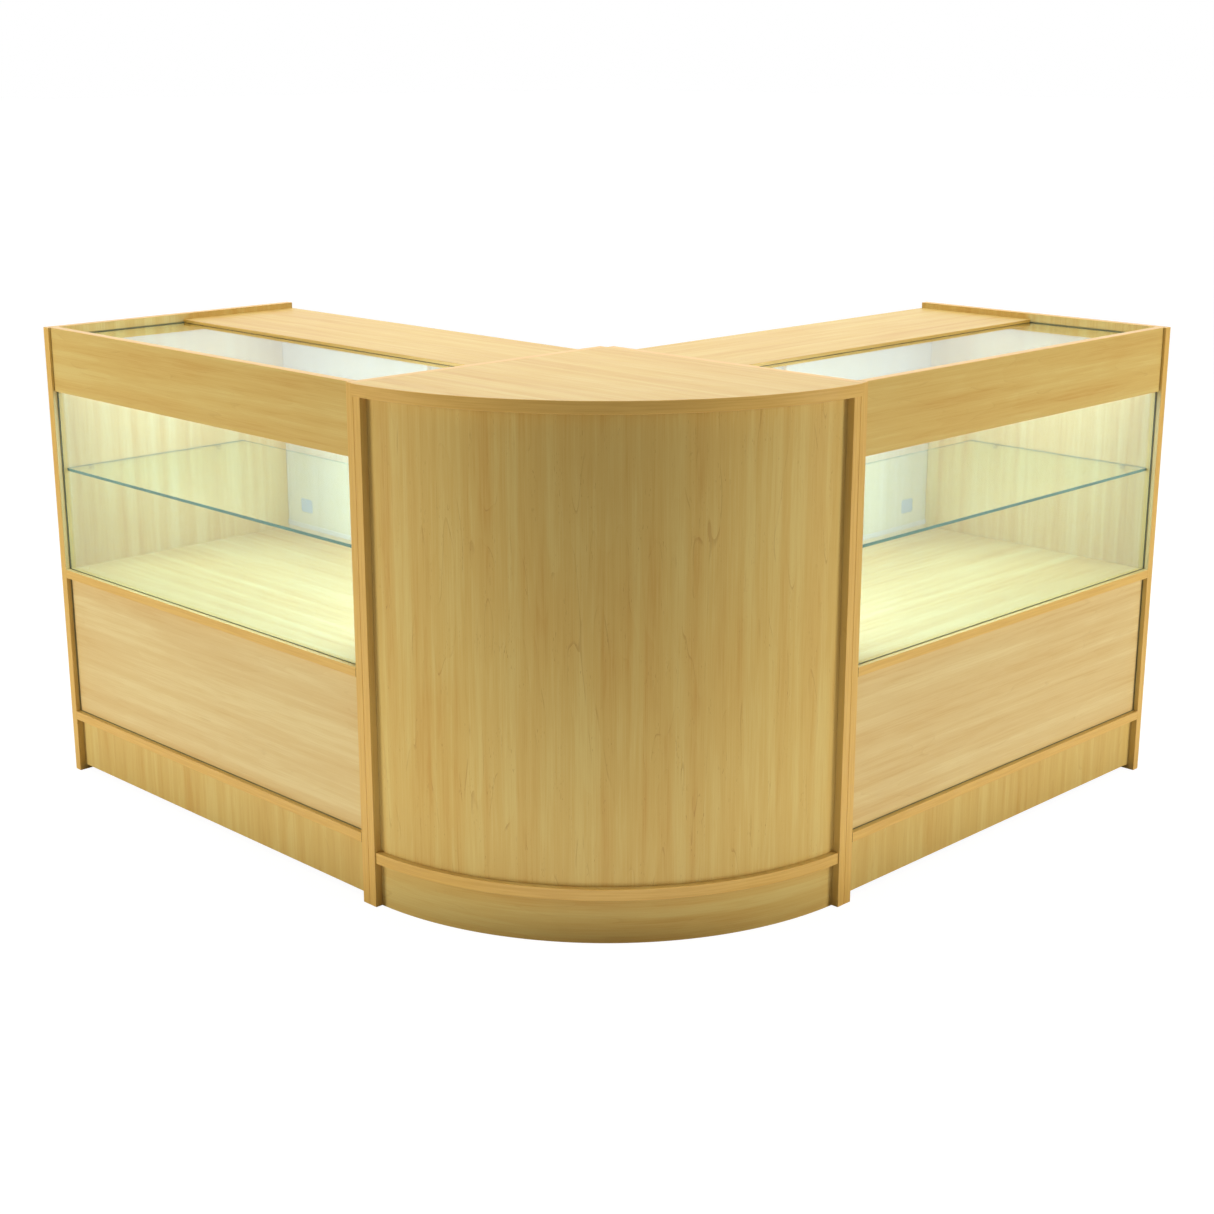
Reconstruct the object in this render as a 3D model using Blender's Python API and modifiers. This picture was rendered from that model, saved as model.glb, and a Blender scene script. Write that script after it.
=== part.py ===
"""Retail checkout counter: two half-glass display counters joined by a quarter-round corner unit.

Metres, +Z up.  The origin is the centre of the bounding box, on the floor.  The left counter
runs along -X and the right counter along +Y from the inner corner, where the staff stand.
Along a counter, u runs outwards from the inner corner and d runs from the staff edge to the
customer edge.
"""

from math import asin, cos, pi, sin

import bmesh
import bpy
from mathutils import Vector

# Driving dimensions
HEIGHT = 0.940
DEPTH = 0.600
COUNTER_LENGTH = 1.000
BOARD = 0.018
GAP = 0.0003

# Counter: levels
LIP = 0.012
FASCIA_HEIGHT = 0.129
DECK_TOP = 0.4405
BASE_TOP = 0.132
PLINTH_CLEARANCE = 0.011
SHELF_TOP = 0.652
STORAGE_SHELF_TOP = 0.280

# Counter: depths
FASCIA_RECESS = 0.0055
PLINTH_RECESS = 0.0136
REAR_PLINTH_INSET = 0.030
WORKTOP_DEPTH = 0.282
SHELF_REAR = 0.145
SHELF_FRONT = 0.578
STORAGE_SHELF_REAR = 0.020
STORAGE_SHELF_FRONT = 0.400

# Glazing and the grooves that hold it
GLAZING_RECESS = 0.011
GLAZING = 0.004
TOP_GLASS = 0.006
TOP_GLASS_DROP = 0.0065
SHELF_GLASS = 0.006
GROOVE_SPARE = 0.0005
GROOVE_DEPTH = 0.0065
GLAZING_BITE = 0.005

# Shelf studs
STUD_PIN_RADIUS = 0.0025
STUD_HEAD_RADIUS = 0.0045
STUD_PIN_LENGTH = 0.008
STUD_HEAD_LENGTH = 0.007
STUD_DEPTHS = {"front": 0.523, "rear": 0.211}

# Sliding doors and their twin-channel tracks
TRACK_REAR = 0.010
TRACK_WALL = 0.002
TRACK_BASE = 0.003
CHANNEL = 0.0095
BOTTOM_TRACK_HEIGHT = 0.010
TOP_TRACK_HEIGHT = 0.018
DOOR_THICKNESS = 0.008
DOOR_OVERLAP = 0.030
DOOR_END_PLAY = 0.001
DOOR_FLOAT = 0.0005
DOOR_LIFT = 0.0087

# Finger pulls: a flanged cup let into each door
PULL_WIDTH = 0.040
PULL_HEIGHT = 0.030
PULL_WALL = 0.0018
PULL_FLANGE = 0.003
PULL_FLANGE_THICKNESS = 0.0015
PULL_FROM_DOOR_END = 0.070
PULL_ABOVE_DECK = 0.052

# Push lock on the overlap of the doors
LOCK_ABOVE_DECK = 0.230
LOCK_SEGMENTS = 32
HOUSING_FLANGE_RADIUS = 0.0125
HOUSING_RADIUS = 0.010
HOUSING_SLEEVE_RADIUS = 0.009
HOUSING_BORE = 0.0066
HOUSING_FLANGE = 0.003
HOUSING_LENGTH = 0.0125
HOUSING_SLEEVE = 0.0077
BARREL_RADIUS = 0.00635
BARREL_OUT = 0.0205
BARREL_IN = 0.002
BOLT_RADIUS = 0.004
BOLT_LENGTH = 0.0065
PLUG_RADIUS = 0.0042
PLUG_LENGTH = 0.0083
PLUG_PROUD = 0.0003
POCKET_RADIUS = 0.0044
KEYWAY = (0.0014, 0.006, 0.005)

# Corner unit
CORNER_TOP_OVERHANG = 0.004
CORNER_TOP_THICKNESS = 0.022
CORNER_PANEL_RECESS = 0.014
CORNER_PANEL = 0.008
CORNER_BASE_RECESS = 0.002
CORNER_BASE_TOP = 0.104
CORNER_BASE_THICKNESS = 0.021
CORNER_PLINTH = 0.012
RIB_TOP = 0.518
RIB_WIDTH = 0.060
ARC_STEPS = 48

SIDES = ("left", "right")
HALF_SPAN = (COUNTER_LENGTH + DEPTH + CORNER_TOP_OVERHANG) / 2
INNER_CORNER = Vector((COUNTER_LENGTH - HALF_SPAN, HALF_SPAN - COUNTER_LENGTH, 0.0))

# Worked-out levels and depths
TOP_LEVEL = HEIGHT - LIP
WORKTOP_BOTTOM = TOP_LEVEL - BOARD
TOP_GLASS_TOP = TOP_LEVEL - TOP_GLASS_DROP
FASCIA_BOTTOM = HEIGHT - FASCIA_HEIGHT
FASCIA_FRONT = DEPTH - FASCIA_RECESS
FASCIA_REAR = FASCIA_FRONT - BOARD
GLAZING_FRONT = DEPTH - GLAZING_RECESS
GLAZING_REAR = GLAZING_FRONT - GLAZING
PANEL_INNER = BOARD
PANEL_OUTER = COUNTER_LENGTH - BOARD
DOOR_WIDTH = (PANEL_OUTER - PANEL_INNER - 2 * DOOR_END_PLAY + DOOR_OVERLAP) / 2
TRACK_FRONT = TRACK_REAR + 3 * TRACK_WALL + 2 * CHANNEL
DOOR_BOTTOM = DECK_TOP + GAP + TRACK_BASE + DOOR_FLOAT
DOOR_TOP = WORKTOP_BOTTOM - GAP - TRACK_BASE - DOOR_LIFT
LOCK_HEIGHT = DECK_TOP + LOCK_ABOVE_DECK
LOCK_ALONG = (PANEL_INNER + PANEL_OUTER) / 2

FINISHES = {
    "maple_foil": ((0.69, 0.45, 0.18), 0.45, 0.0),
    "pale_maple_foil": ((0.80, 0.68, 0.42), 0.45, 0.0),
    "float_glass": ((0.55, 0.72, 0.66), 0.05, 0.0),
    "ivory_plastic": ((0.78, 0.72, 0.58), 0.40, 0.0),
    "grey_plastic": ((0.35, 0.42, 0.45), 0.40, 0.0),
    "nickel": ((0.66, 0.65, 0.62), 0.25, 1.0),
}


def new_collection(name):
    collection = bpy.data.collections.new(name)
    bpy.context.scene.collection.children.link(collection)
    return collection


def new_finish(name, finish):
    """One Principled material for one part."""
    colour, roughness, metallic = FINISHES[finish]
    material = bpy.data.materials.new(name)
    material.use_nodes = True
    shader = material.node_tree.nodes["Principled BSDF"]
    shader.inputs["Base Color"].default_value = (*colour, 1.0)
    shader.inputs["Roughness"].default_value = roughness
    shader.inputs["Metallic"].default_value = metallic
    return material


def root_spot(obj):
    """World place of an unrotated object, added up along its parents."""
    spot = Vector((0.0, 0.0, 0.0))
    while obj:
        spot += obj.location
        obj = obj.parent
    return spot


def place(obj, collection, spot, parent):
    collection.objects.link(obj)
    obj.parent = parent
    obj.location = spot - root_spot(parent)
    return obj


def spot_on(side, along, depth, height):
    """World place of a point on one counter."""
    if side == "left":
        return INNER_CORNER + Vector((-along, -depth, height))
    return INNER_CORNER + Vector((depth, along, height))


def staff_direction(side):
    """From the customer edge towards the staff."""
    return Vector((0, 1, 0)) if side == "left" else Vector((-1, 0, 0))


def outward_direction(side):
    """From the inner corner towards the counter's outer end."""
    return Vector((-1, 0, 0)) if side == "left" else Vector((0, 1, 0))


class Builder:
    """Adds parts and cutters under one empty at the inner corner."""

    def __init__(self):
        self.parts = new_collection("checkout_counter")
        self.cutters = new_collection("cutters")
        self.frame = bpy.data.objects.new("inner_corner", None)
        self.parts.objects.link(self.frame)
        self.frame.location = INNER_CORNER

    def dress(self, obj, finish):
        obj.data.materials.append(new_finish(obj.name + "_finish", finish))
        return obj

    def hide(self, obj):
        obj.hide_render = True
        obj.display_type = "WIRE"
        return obj

    def block(self, name, first, last, finish=None, parent=None):
        """A box between two corners; without a finish it is a cutter."""
        low = Vector(map(min, first, last))
        high = Vector(map(max, first, last))
        mesh = bpy.data.meshes.new(name)
        shape = bmesh.new()
        bmesh.ops.create_cube(shape, size=1.0)
        bmesh.ops.scale(shape, vec=high - low, verts=shape.verts)
        shape.to_mesh(mesh)
        shape.free()
        obj = bpy.data.objects.new(name, mesh)
        collection = self.parts if finish else self.cutters
        place(obj, collection, (low + high) / 2, parent or self.frame)
        return self.dress(obj, finish) if finish else self.hide(obj)

    def turned(self, name, profile, spot, axis, finish=None, parent=None, closed=False):
        """A turned solid: (radius, height) points down its outer side, about an axis at spot."""
        mesh = bpy.data.meshes.new(name)
        shape = bmesh.new()
        points = [shape.verts.new((radius, 0.0, height)) for radius, height in profile]
        for start, end in zip(points, points[1:]):
            shape.edges.new((start, end))
        if closed:
            shape.edges.new((points[-1], points[0]))
        shape.to_mesh(mesh)
        shape.free()
        obj = bpy.data.objects.new(name, mesh)
        collection = self.parts if finish else self.cutters
        place(obj, collection, spot, parent or self.frame)
        obj.rotation_euler = axis.to_track_quat("Z", "Y").to_euler()
        screw = obj.modifiers.new("Turn", "SCREW")
        screw.steps = screw.render_steps = LOCK_SEGMENTS
        screw.use_merge_vertices = True
        screw.merge_threshold = 0.00001
        screw.use_smooth_shade = False
        return self.dress(obj, finish) if finish else self.hide(obj)

    def plate(self, name, outline, bottom, top, finish):
        """A flat outline, in plan about the inner corner, given its thickness."""
        curve = bpy.data.curves.new(name, "CURVE")
        curve.dimensions = "2D"
        curve.fill_mode = "BOTH"
        curve.extrude = (top - bottom) / 2
        spline = curve.splines.new("POLY")
        spline.points.add(len(outline) - 1)
        for point, (x, y) in zip(spline.points, outline):
            point.co = (x, y, 0.0, 1.0)
        spline.use_cyclic_u = True
        obj = bpy.data.objects.new(name, curve)
        middle = INNER_CORNER + Vector((0.0, 0.0, (top + bottom) / 2))
        return self.dress(place(obj, self.parts, middle, self.frame), finish)

    def change(self, obj, operation, tools):
        for tool in tools:
            boolean = obj.modifiers.new(tool.name, "BOOLEAN")
            boolean.operation = operation
            boolean.solver = "EXACT"
            boolean.object = tool
        return obj

    def cut(self, obj, *tools):
        return self.change(obj, "DIFFERENCE", tools)

    def join(self, obj, *tools):
        return self.change(obj, "UNION", tools)


class Counter:
    """One half-glass display counter."""

    def __init__(self, builder, side):
        self.builder = builder
        self.side = side

    def at(self, along, depth, height):
        return spot_on(self.side, along, depth, height)

    def block(self, name, along, depth, height, finish=None, parent=None):
        """A box over (low, high) ranges along, across and up the counter."""
        first = self.at(along[0], depth[0], height[0])
        last = self.at(along[1], depth[1], height[1])
        return self.builder.block(f"{self.side}_{name}", first, last, finish, parent)

    def between_panels(self, name, depth, height, finish="maple_foil"):
        return self.block(name, (PANEL_INNER + GAP, PANEL_OUTER - GAP), depth, height, finish)

    def slot_for(self, name, along, depth, height, spare):
        """A cutter that leaves the spare all round the piece it takes, except along."""
        return self.block(
            name,
            along,
            (depth[0] - spare, depth[1] + spare),
            (height[0] - spare, height[1] + spare),
        )

    def end_panel(self, name, face, outwards):
        """An upright end; outwards is -1 where its inner face looks away from the corner."""
        hidden = face + outwards * BOARD
        panel = self.block(name, (face, hidden), (0, DEPTH), (0, HEIGHT), "maple_foil")
        groove_end = face + outwards * GROOVE_DEPTH
        mouth = face - outwards * GROOVE_DEPTH
        glazing = self.slot_for(
            name + "_glazing_groove",
            (mouth, groove_end),
            (GLAZING_REAR, GLAZING_FRONT),
            (BASE_TOP - GLAZING_BITE, FASCIA_BOTTOM + GLAZING_BITE),
            GROOVE_SPARE,
        )
        top_glass = self.slot_for(
            name + "_top_glass_groove",
            (mouth, groove_end),
            (WORKTOP_DEPTH - GLAZING_BITE, FASCIA_REAR + GLAZING_BITE),
            (TOP_GLASS_TOP - TOP_GLASS, TOP_GLASS_TOP),
            GAP,
        )
        self.builder.cut(panel, glazing, top_glass)
        for position, depth in STUD_DEPTHS.items():
            self.stud(f"{name.split('_')[0]}_{position}", panel, face, outwards, depth)

    def stud(self, name, panel, face, outwards, depth):
        """A shelf stud in its hole: the glass lies on the head."""
        axis_height = SHELF_TOP - SHELF_GLASS - GAP - STUD_HEAD_RADIUS
        spot = self.at(face, depth, axis_height)
        into_panel = outward_direction(self.side) * outwards
        hole = self.builder.turned(
            f"{self.side}_{name}_stud_hole",
            [
                (0, STUD_PIN_LENGTH + GAP),
                (STUD_PIN_RADIUS + GAP, STUD_PIN_LENGTH + GAP),
                (STUD_PIN_RADIUS + GAP, -STUD_PIN_LENGTH),
                (0, -STUD_PIN_LENGTH),
            ],
            spot,
            into_panel,
        )
        self.builder.cut(panel, hole)
        self.builder.turned(
            f"{self.side}_{name}_shelf_stud",
            [
                (0, STUD_PIN_LENGTH),
                (STUD_PIN_RADIUS, STUD_PIN_LENGTH),
                (STUD_PIN_RADIUS, -GAP),
                (STUD_HEAD_RADIUS, -GAP),
                (STUD_HEAD_RADIUS, -STUD_HEAD_LENGTH),
                (0, -STUD_HEAD_LENGTH),
            ],
            spot,
            into_panel,
            "nickel",
        )

    def carcass(self):
        """The end panels and the boards between them."""
        self.end_panel("outer_end_panel", PANEL_OUTER, 1)
        self.end_panel("inner_end_panel", PANEL_INNER, -1)
        across = (PANEL_INNER, PANEL_OUTER)
        fascia = self.between_panels("fascia", (FASCIA_REAR, FASCIA_FRONT), (FASCIA_BOTTOM, HEIGHT))
        worktop = self.between_panels("worktop", (0, WORKTOP_DEPTH), (WORKTOP_BOTTOM, TOP_LEVEL))
        deck = self.between_panels("display_deck", (0, DEPTH), (DECK_TOP - BOARD, DECK_TOP))
        base = self.between_panels("base_board", (0, DEPTH), (BASE_TOP - BOARD, BASE_TOP))
        plinth_levels = (PLINTH_CLEARANCE, BASE_TOP - BOARD - GAP)
        plinth_front = DEPTH - PLINTH_RECESS
        self.between_panels("front_plinth", (plinth_front - BOARD, plinth_front), plinth_levels)
        rear = (REAR_PLINTH_INSET, REAR_PLINTH_INSET + BOARD)
        self.between_panels("rear_plinth", rear, plinth_levels)
        self.between_panels(
            "storage_shelf",
            (STORAGE_SHELF_REAR, STORAGE_SHELF_FRONT),
            (STORAGE_SHELF_TOP - BOARD, STORAGE_SHELF_TOP),
        )
        glazing = (GLAZING_REAR, GLAZING_FRONT)
        for board, name, level in (
            (fascia, "fascia_glazing_groove", FASCIA_BOTTOM),
            (deck, "deck_glazing_groove", DECK_TOP),
            (deck, "deck_panel_groove", DECK_TOP - BOARD),
            (base, "base_panel_groove", BASE_TOP),
        ):
            bite = (level - GLAZING_BITE, level + GLAZING_BITE)
            self.builder.cut(board, self.slot_for(name, across, glazing, bite, GROOVE_SPARE))
        glass_levels = (TOP_GLASS_TOP - TOP_GLASS, TOP_GLASS_TOP)
        for board, name, edge in (
            (fascia, "fascia_top_glass_groove", FASCIA_REAR),
            (worktop, "worktop_top_glass_groove", WORKTOP_DEPTH),
        ):
            bite = (edge - GLAZING_BITE, edge + GLAZING_BITE)
            self.builder.cut(board, self.slot_for(name, across, bite, glass_levels, GAP))

    def glazing(self):
        """Glass and the thin lower panel, let into their grooves."""
        along = (PANEL_INNER - GLAZING_BITE, PANEL_OUTER + GLAZING_BITE)
        depth = (GLAZING_REAR, GLAZING_FRONT)
        self.block(
            "front_glass",
            along,
            depth,
            (DECK_TOP - GLAZING_BITE, FASCIA_BOTTOM + GLAZING_BITE),
            "float_glass",
        )
        self.block(
            "lower_front_panel",
            along,
            depth,
            (BASE_TOP - GLAZING_BITE, DECK_TOP - BOARD + GLAZING_BITE),
            "maple_foil",
        )
        self.block(
            "top_glass",
            along,
            (WORKTOP_DEPTH - GLAZING_BITE, FASCIA_REAR + GLAZING_BITE),
            (TOP_GLASS_TOP - TOP_GLASS, TOP_GLASS_TOP),
            "float_glass",
        )
        self.block(
            "glass_shelf",
            (PANEL_INNER + DOOR_END_PLAY, PANEL_OUTER - DOOR_END_PLAY),
            (SHELF_REAR, SHELF_FRONT),
            (SHELF_TOP - SHELF_GLASS, SHELF_TOP),
            "float_glass",
        )

    def channel_range(self, number):
        """Depth range of a track channel: 0 on the staff side, 1 on the display side."""
        start = TRACK_REAR + TRACK_WALL + number * (CHANNEL + TRACK_WALL)
        return (start, start + CHANNEL)

    def track(self, name, bottom, top, channel_levels):
        track = self.between_panels(name, (TRACK_REAR, TRACK_FRONT), (bottom, top), "ivory_plastic")
        for number in (0, 1):
            channel = self.block(
                f"{name}_channel_{number}",
                (0, COUNTER_LENGTH),
                self.channel_range(number),
                channel_levels,
            )
            self.builder.cut(track, channel)

    def tracks(self):
        bottom = DECK_TOP + GAP
        self.track(
            "bottom_door_track",
            bottom,
            bottom + BOTTOM_TRACK_HEIGHT,
            (bottom + TRACK_BASE, bottom + 2 * BOTTOM_TRACK_HEIGHT),
        )
        top = WORKTOP_BOTTOM - GAP
        self.track(
            "top_door_track",
            top - TOP_TRACK_HEIGHT,
            top,
            (top - 2 * TOP_TRACK_HEIGHT, top - TRACK_BASE),
        )

    def door(self, name, start, channel, pull_along):
        """A sliding door with its finger pull; returns it and its staff face."""
        channel_low, channel_high = self.channel_range(channel)
        staff_face = (channel_low + channel_high - DOOR_THICKNESS) / 2
        display_face = staff_face + DOOR_THICKNESS
        door = self.block(
            name,
            (start, start + DOOR_WIDTH),
            (staff_face, display_face),
            (DOOR_BOTTOM, DOOR_TOP),
            "pale_maple_foil",
        )
        self.finger_pull(name, door, pull_along, staff_face, display_face)
        return door, staff_face

    def pull_block(self, name, along, spread, depth, finish=None, parent=None):
        """A box centred on a finger pull, spread past the pull's own size."""
        height = DECK_TOP + PULL_ABOVE_DECK
        half_width = PULL_WIDTH / 2 + spread
        half_height = PULL_HEIGHT / 2 + spread
        return self.block(
            name,
            (along - half_width, along + half_width),
            depth,
            (height - half_height, height + half_height),
            finish,
            parent,
        )

    def finger_pull(self, name, door, along, staff_face, display_face):
        flange_back = staff_face - GAP
        flange_front = flange_back - PULL_FLANGE_THICKNESS
        opening = self.pull_block(
            f"{name}_pull_opening", along, GAP, (flange_front, display_face + PULL_WALL)
        )
        self.builder.cut(door, opening)
        cup = self.pull_block(
            f"{name}_finger_pull",
            along,
            0,
            (flange_front, display_face),
            "grey_plastic",
            door,
        )
        flange = self.pull_block(
            f"{name}_pull_flange", along, PULL_FLANGE, (flange_front, flange_back), None, door
        )
        hollow = self.pull_block(
            f"{name}_pull_hollow",
            along,
            -PULL_WALL,
            (flange_front - PULL_WALL, display_face - PULL_WALL),
            None,
            door,
        )
        self.builder.join(cup, flange)
        self.builder.cut(cup, hollow)

    def doors(self):
        """The corner-side door runs on the staff side and carries the push lock."""
        near_start = PANEL_INNER + DOOR_END_PLAY
        far_start = PANEL_OUTER - DOOR_END_PLAY - DOOR_WIDTH
        far_pull = far_start + DOOR_WIDTH - PULL_FROM_DOOR_END
        near, staff_face = self.door("near_door", near_start, 0, near_start + PULL_FROM_DOOR_END)
        far, _ = self.door("far_door", far_start, 1, far_pull)
        self.push_lock(near, far, staff_face)

    def push_lock(self, near, far, staff_face):
        spot = self.at(LOCK_ALONG, staff_face, LOCK_HEIGHT)
        axis = staff_direction(self.side)
        reach = 2 * DOOR_THICKNESS
        for door, name, radius in (
            (near, "near_lock_hole", HOUSING_SLEEVE_RADIUS + GAP),
            (far, "far_bolt_hole", BOLT_RADIUS + 2 * GAP),
        ):
            profile = [(0, reach), (radius, reach), (radius, -2 * reach), (0, -2 * reach)]
            hole = self.builder.turned(f"{self.side}_{name}", profile, spot, axis)
            self.builder.cut(door, hole)
        self.builder.turned(
            f"{self.side}_lock_housing",
            [
                (HOUSING_BORE, HOUSING_LENGTH),
                (HOUSING_RADIUS, HOUSING_LENGTH),
                (HOUSING_RADIUS, HOUSING_FLANGE + GAP),
                (HOUSING_FLANGE_RADIUS, HOUSING_FLANGE + GAP),
                (HOUSING_FLANGE_RADIUS, GAP),
                (HOUSING_SLEEVE_RADIUS, GAP),
                (HOUSING_SLEEVE_RADIUS, -HOUSING_SLEEVE),
                (HOUSING_BORE, -HOUSING_SLEEVE),
            ],
            spot,
            axis,
            "nickel",
            near,
            closed=True,
        )
        pocket_floor = BARREL_OUT + PLUG_PROUD - PLUG_LENGTH - GAP
        barrel = self.builder.turned(
            f"{self.side}_lock_barrel",
            [
                (0, pocket_floor),
                (POCKET_RADIUS, pocket_floor),
                (POCKET_RADIUS, BARREL_OUT),
                (BARREL_RADIUS, BARREL_OUT),
                (BARREL_RADIUS, -BARREL_IN),
                (BOLT_RADIUS, -BARREL_IN),
                (BOLT_RADIUS, -BARREL_IN - BOLT_LENGTH),
                (0, -BARREL_IN - BOLT_LENGTH),
            ],
            spot,
            axis,
            "nickel",
            near,
        )
        plug_face = BARREL_OUT + PLUG_PROUD
        plug = self.builder.turned(
            f"{self.side}_lock_plug",
            [
                (0, plug_face),
                (PLUG_RADIUS, plug_face),
                (PLUG_RADIUS, plug_face - PLUG_LENGTH),
                (0, plug_face - PLUG_LENGTH),
            ],
            spot,
            axis,
            "nickel",
            near,
        )
        width, height, depth = KEYWAY
        face_depth = staff_face - plug_face
        keyway = self.block(
            "keyway",
            (LOCK_ALONG - width / 2, LOCK_ALONG + width / 2),
            (face_depth - depth, face_depth + depth),
            (LOCK_HEIGHT - height / 2, LOCK_HEIGHT + height / 2),
            None,
            near,
        )
        self.builder.cut(plug, keyway)
        return barrel

    def build(self):
        self.carcass()
        self.glazing()
        self.tracks()
        self.doors()


class CornerUnit:
    """The quarter-round unit between the counters; plan points are about the inner corner."""

    def __init__(self, builder):
        self.builder = builder

    def arc(self, radius, inset):
        """Points from the right side panel round to the left one, stopping inset from each."""
        trim = asin(inset / radius)
        span = pi / 2 - 2 * trim
        angles = [-trim - span * step / ARC_STEPS for step in range(ARC_STEPS + 1)]
        return [(radius * cos(angle), radius * sin(angle)) for angle in angles]

    def sector(self, radius, inset):
        return [(inset, -inset)] + self.arc(radius, inset)

    def ring(self, outer, thickness):
        inset = BOARD + GAP
        return self.arc(outer, inset) + self.arc(outer - thickness, inset)[::-1]

    def build(self):
        foil = "maple_foil"
        inset = BOARD + GAP
        side_top = HEIGHT - CORNER_TOP_THICKNESS - GAP
        base_bottom = CORNER_BASE_TOP - CORNER_BASE_THICKNESS
        panel_radius = DEPTH - CORNER_PANEL_RECESS
        corner = INNER_CORNER
        self.builder.block(
            "corner_left_side_panel",
            corner + Vector((GAP, 0, 0)),
            corner + Vector((BOARD, -DEPTH, side_top)),
            foil,
        )
        self.builder.block(
            "corner_right_side_panel",
            corner + Vector((BOARD + GAP, -GAP, 0)),
            corner + Vector((DEPTH, -BOARD, side_top)),
            foil,
        )
        top_outline = self.sector(DEPTH + CORNER_TOP_OVERHANG, GAP)
        self.builder.plate("corner_top", top_outline, side_top + GAP, HEIGHT, foil)
        base_outline = self.sector(DEPTH - CORNER_BASE_RECESS, inset)
        self.builder.plate("corner_base_board", base_outline, base_bottom, CORNER_BASE_TOP, foil)
        front_outline = self.ring(panel_radius, CORNER_PANEL)
        front_bottom = CORNER_BASE_TOP + GAP
        self.builder.plate("corner_front_panel", front_outline, front_bottom, side_top, foil)
        plinth_outline = self.ring(panel_radius, CORNER_PLINTH)
        self.builder.plate("corner_plinth", plinth_outline, 0, base_bottom - GAP, foil)
        rib_outline = self.ring(panel_radius - CORNER_PANEL - GAP, RIB_WIDTH)
        self.builder.plate("corner_rib", rib_outline, RIB_TOP - BOARD, RIB_TOP, foil)


def clear_scene():
    for obj in list(bpy.data.objects):
        bpy.data.objects.remove(obj, do_unlink=True)


def main():
    clear_scene()
    builder = Builder()
    for side in SIDES:
        Counter(builder, side).build()
    CornerUnit(builder).build()


main()
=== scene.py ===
from math import atan2, cos, pi, radians, sin

import bmesh
import bpy
from bpy.props import FloatProperty, FloatVectorProperty, IntProperty, PointerProperty
from mathutils import Matrix, Vector


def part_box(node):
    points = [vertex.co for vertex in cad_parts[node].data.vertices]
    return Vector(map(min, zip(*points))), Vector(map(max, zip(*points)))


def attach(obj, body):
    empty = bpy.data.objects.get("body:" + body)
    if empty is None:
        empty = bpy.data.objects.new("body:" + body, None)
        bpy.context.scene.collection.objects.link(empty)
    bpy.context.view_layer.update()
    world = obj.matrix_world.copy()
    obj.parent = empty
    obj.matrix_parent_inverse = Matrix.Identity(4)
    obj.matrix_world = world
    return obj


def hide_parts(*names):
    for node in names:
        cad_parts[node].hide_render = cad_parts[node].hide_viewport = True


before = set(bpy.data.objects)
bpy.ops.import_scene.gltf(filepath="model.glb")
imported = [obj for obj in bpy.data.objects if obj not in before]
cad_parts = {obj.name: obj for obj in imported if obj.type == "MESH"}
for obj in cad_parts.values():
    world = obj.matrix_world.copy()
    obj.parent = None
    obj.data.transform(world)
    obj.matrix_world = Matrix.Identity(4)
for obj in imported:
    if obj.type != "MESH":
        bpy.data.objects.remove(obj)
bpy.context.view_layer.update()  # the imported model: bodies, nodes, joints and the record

bl_info = {
    "name": "Checkout Counter",
    "version": (1, 0, 0),
    "blender": (4, 5, 0),
    "location": "3D View > Sidebar > Counter",
    "description": "Finished boards, glazing, doors and locks of an L-shaped retail checkout counter",
    "category": "Object",
}

SIDES = ("left", "right")
CARCASS = "carcass"
# Where the staff faces of the two counters meet, on the floor
CORNER = Vector((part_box("left_inner_end_panel")[1].x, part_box("right_inner_end_panel")[0].y, 0.0))
# Axes of a counter: along it from the corner, across it from the staff edge, and up
ALONG, ACROSS, UPWARD = AXES = (0, 1, 2)
# Finishes of a board, by material index
FACE, TAPE, CORE = 0, 1, 2
FOILED = ("foil", "tape", "core")
GRAIN = "grain"
# A face whose normal has more than this of an axis lies square to the axis
SQUARE = 0.98
# Turned pieces start this far from their axis, so that no face closes on a point
NEAR_AXIS = 0.0002

# Boards of a counter: CAD node, finished piece, thin axis, grain axis, raw cut ends, panes let in
BOTH_ENDS = ((ALONG, 1), (ALONG, -1))
FRONT_PANES = ("front_glass", "lower_front_panel")
BOARDS = (
    ("outer_end_panel", "outer_end_board", ALONG, UPWARD, (), (*FRONT_PANES, "top_glass")),
    ("inner_end_panel", "inner_end_board", ALONG, UPWARD, (), (*FRONT_PANES, "top_glass")),
    ("fascia", "fascia_board", ACROSS, ALONG, BOTH_ENDS, ("front_glass", "top_glass")),
    ("worktop", "worktop_board", UPWARD, ALONG, BOTH_ENDS, ("top_glass",)),
    ("display_deck", "deck_board", UPWARD, ALONG, BOTH_ENDS, FRONT_PANES),
    ("base_board", "base_rail_board", UPWARD, ALONG, BOTH_ENDS, ("lower_front_panel",)),
    ("front_plinth", "front_plinth_board", ACROSS, UPWARD, BOTH_ENDS, ()),
    ("rear_plinth", "rear_plinth_board", ACROSS, UPWARD, BOTH_ENDS, ()),
    ("storage_shelf", "storage_board", UPWARD, ALONG, BOTH_ENDS, ()),
)
# Panes of a counter: CAD node, finished piece, thin axis
PANES = (
    ("front_glass", "front_pane", ACROSS),
    ("top_glass", "top_pane", UPWARD),
    ("glass_shelf", "shelf_pane", UPWARD),
)
# Bent pieces of the corner unit: CAD node, finished piece, grain axis, thickness, finish
BENT_PIECES = (
    ("front_panel", "front_sheet", UPWARD, 0.008, "bent_foil"),
    ("plinth", "plinth_sheet", ALONG, 0.012, "foil"),
    ("rib", "rib_board", ALONG, 0.060, "foil"),
)
STUDS = ("outer_front", "outer_rear", "inner_front", "inner_rear")
# A shelf stud's pin and its hole against its head, and the length of pin in the board
STUD_PIN_SHARE, STUD_HOLE_SHARE, STUD_PIN_LENGTH = 5 / 9, 0.55, 0.0077

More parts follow.
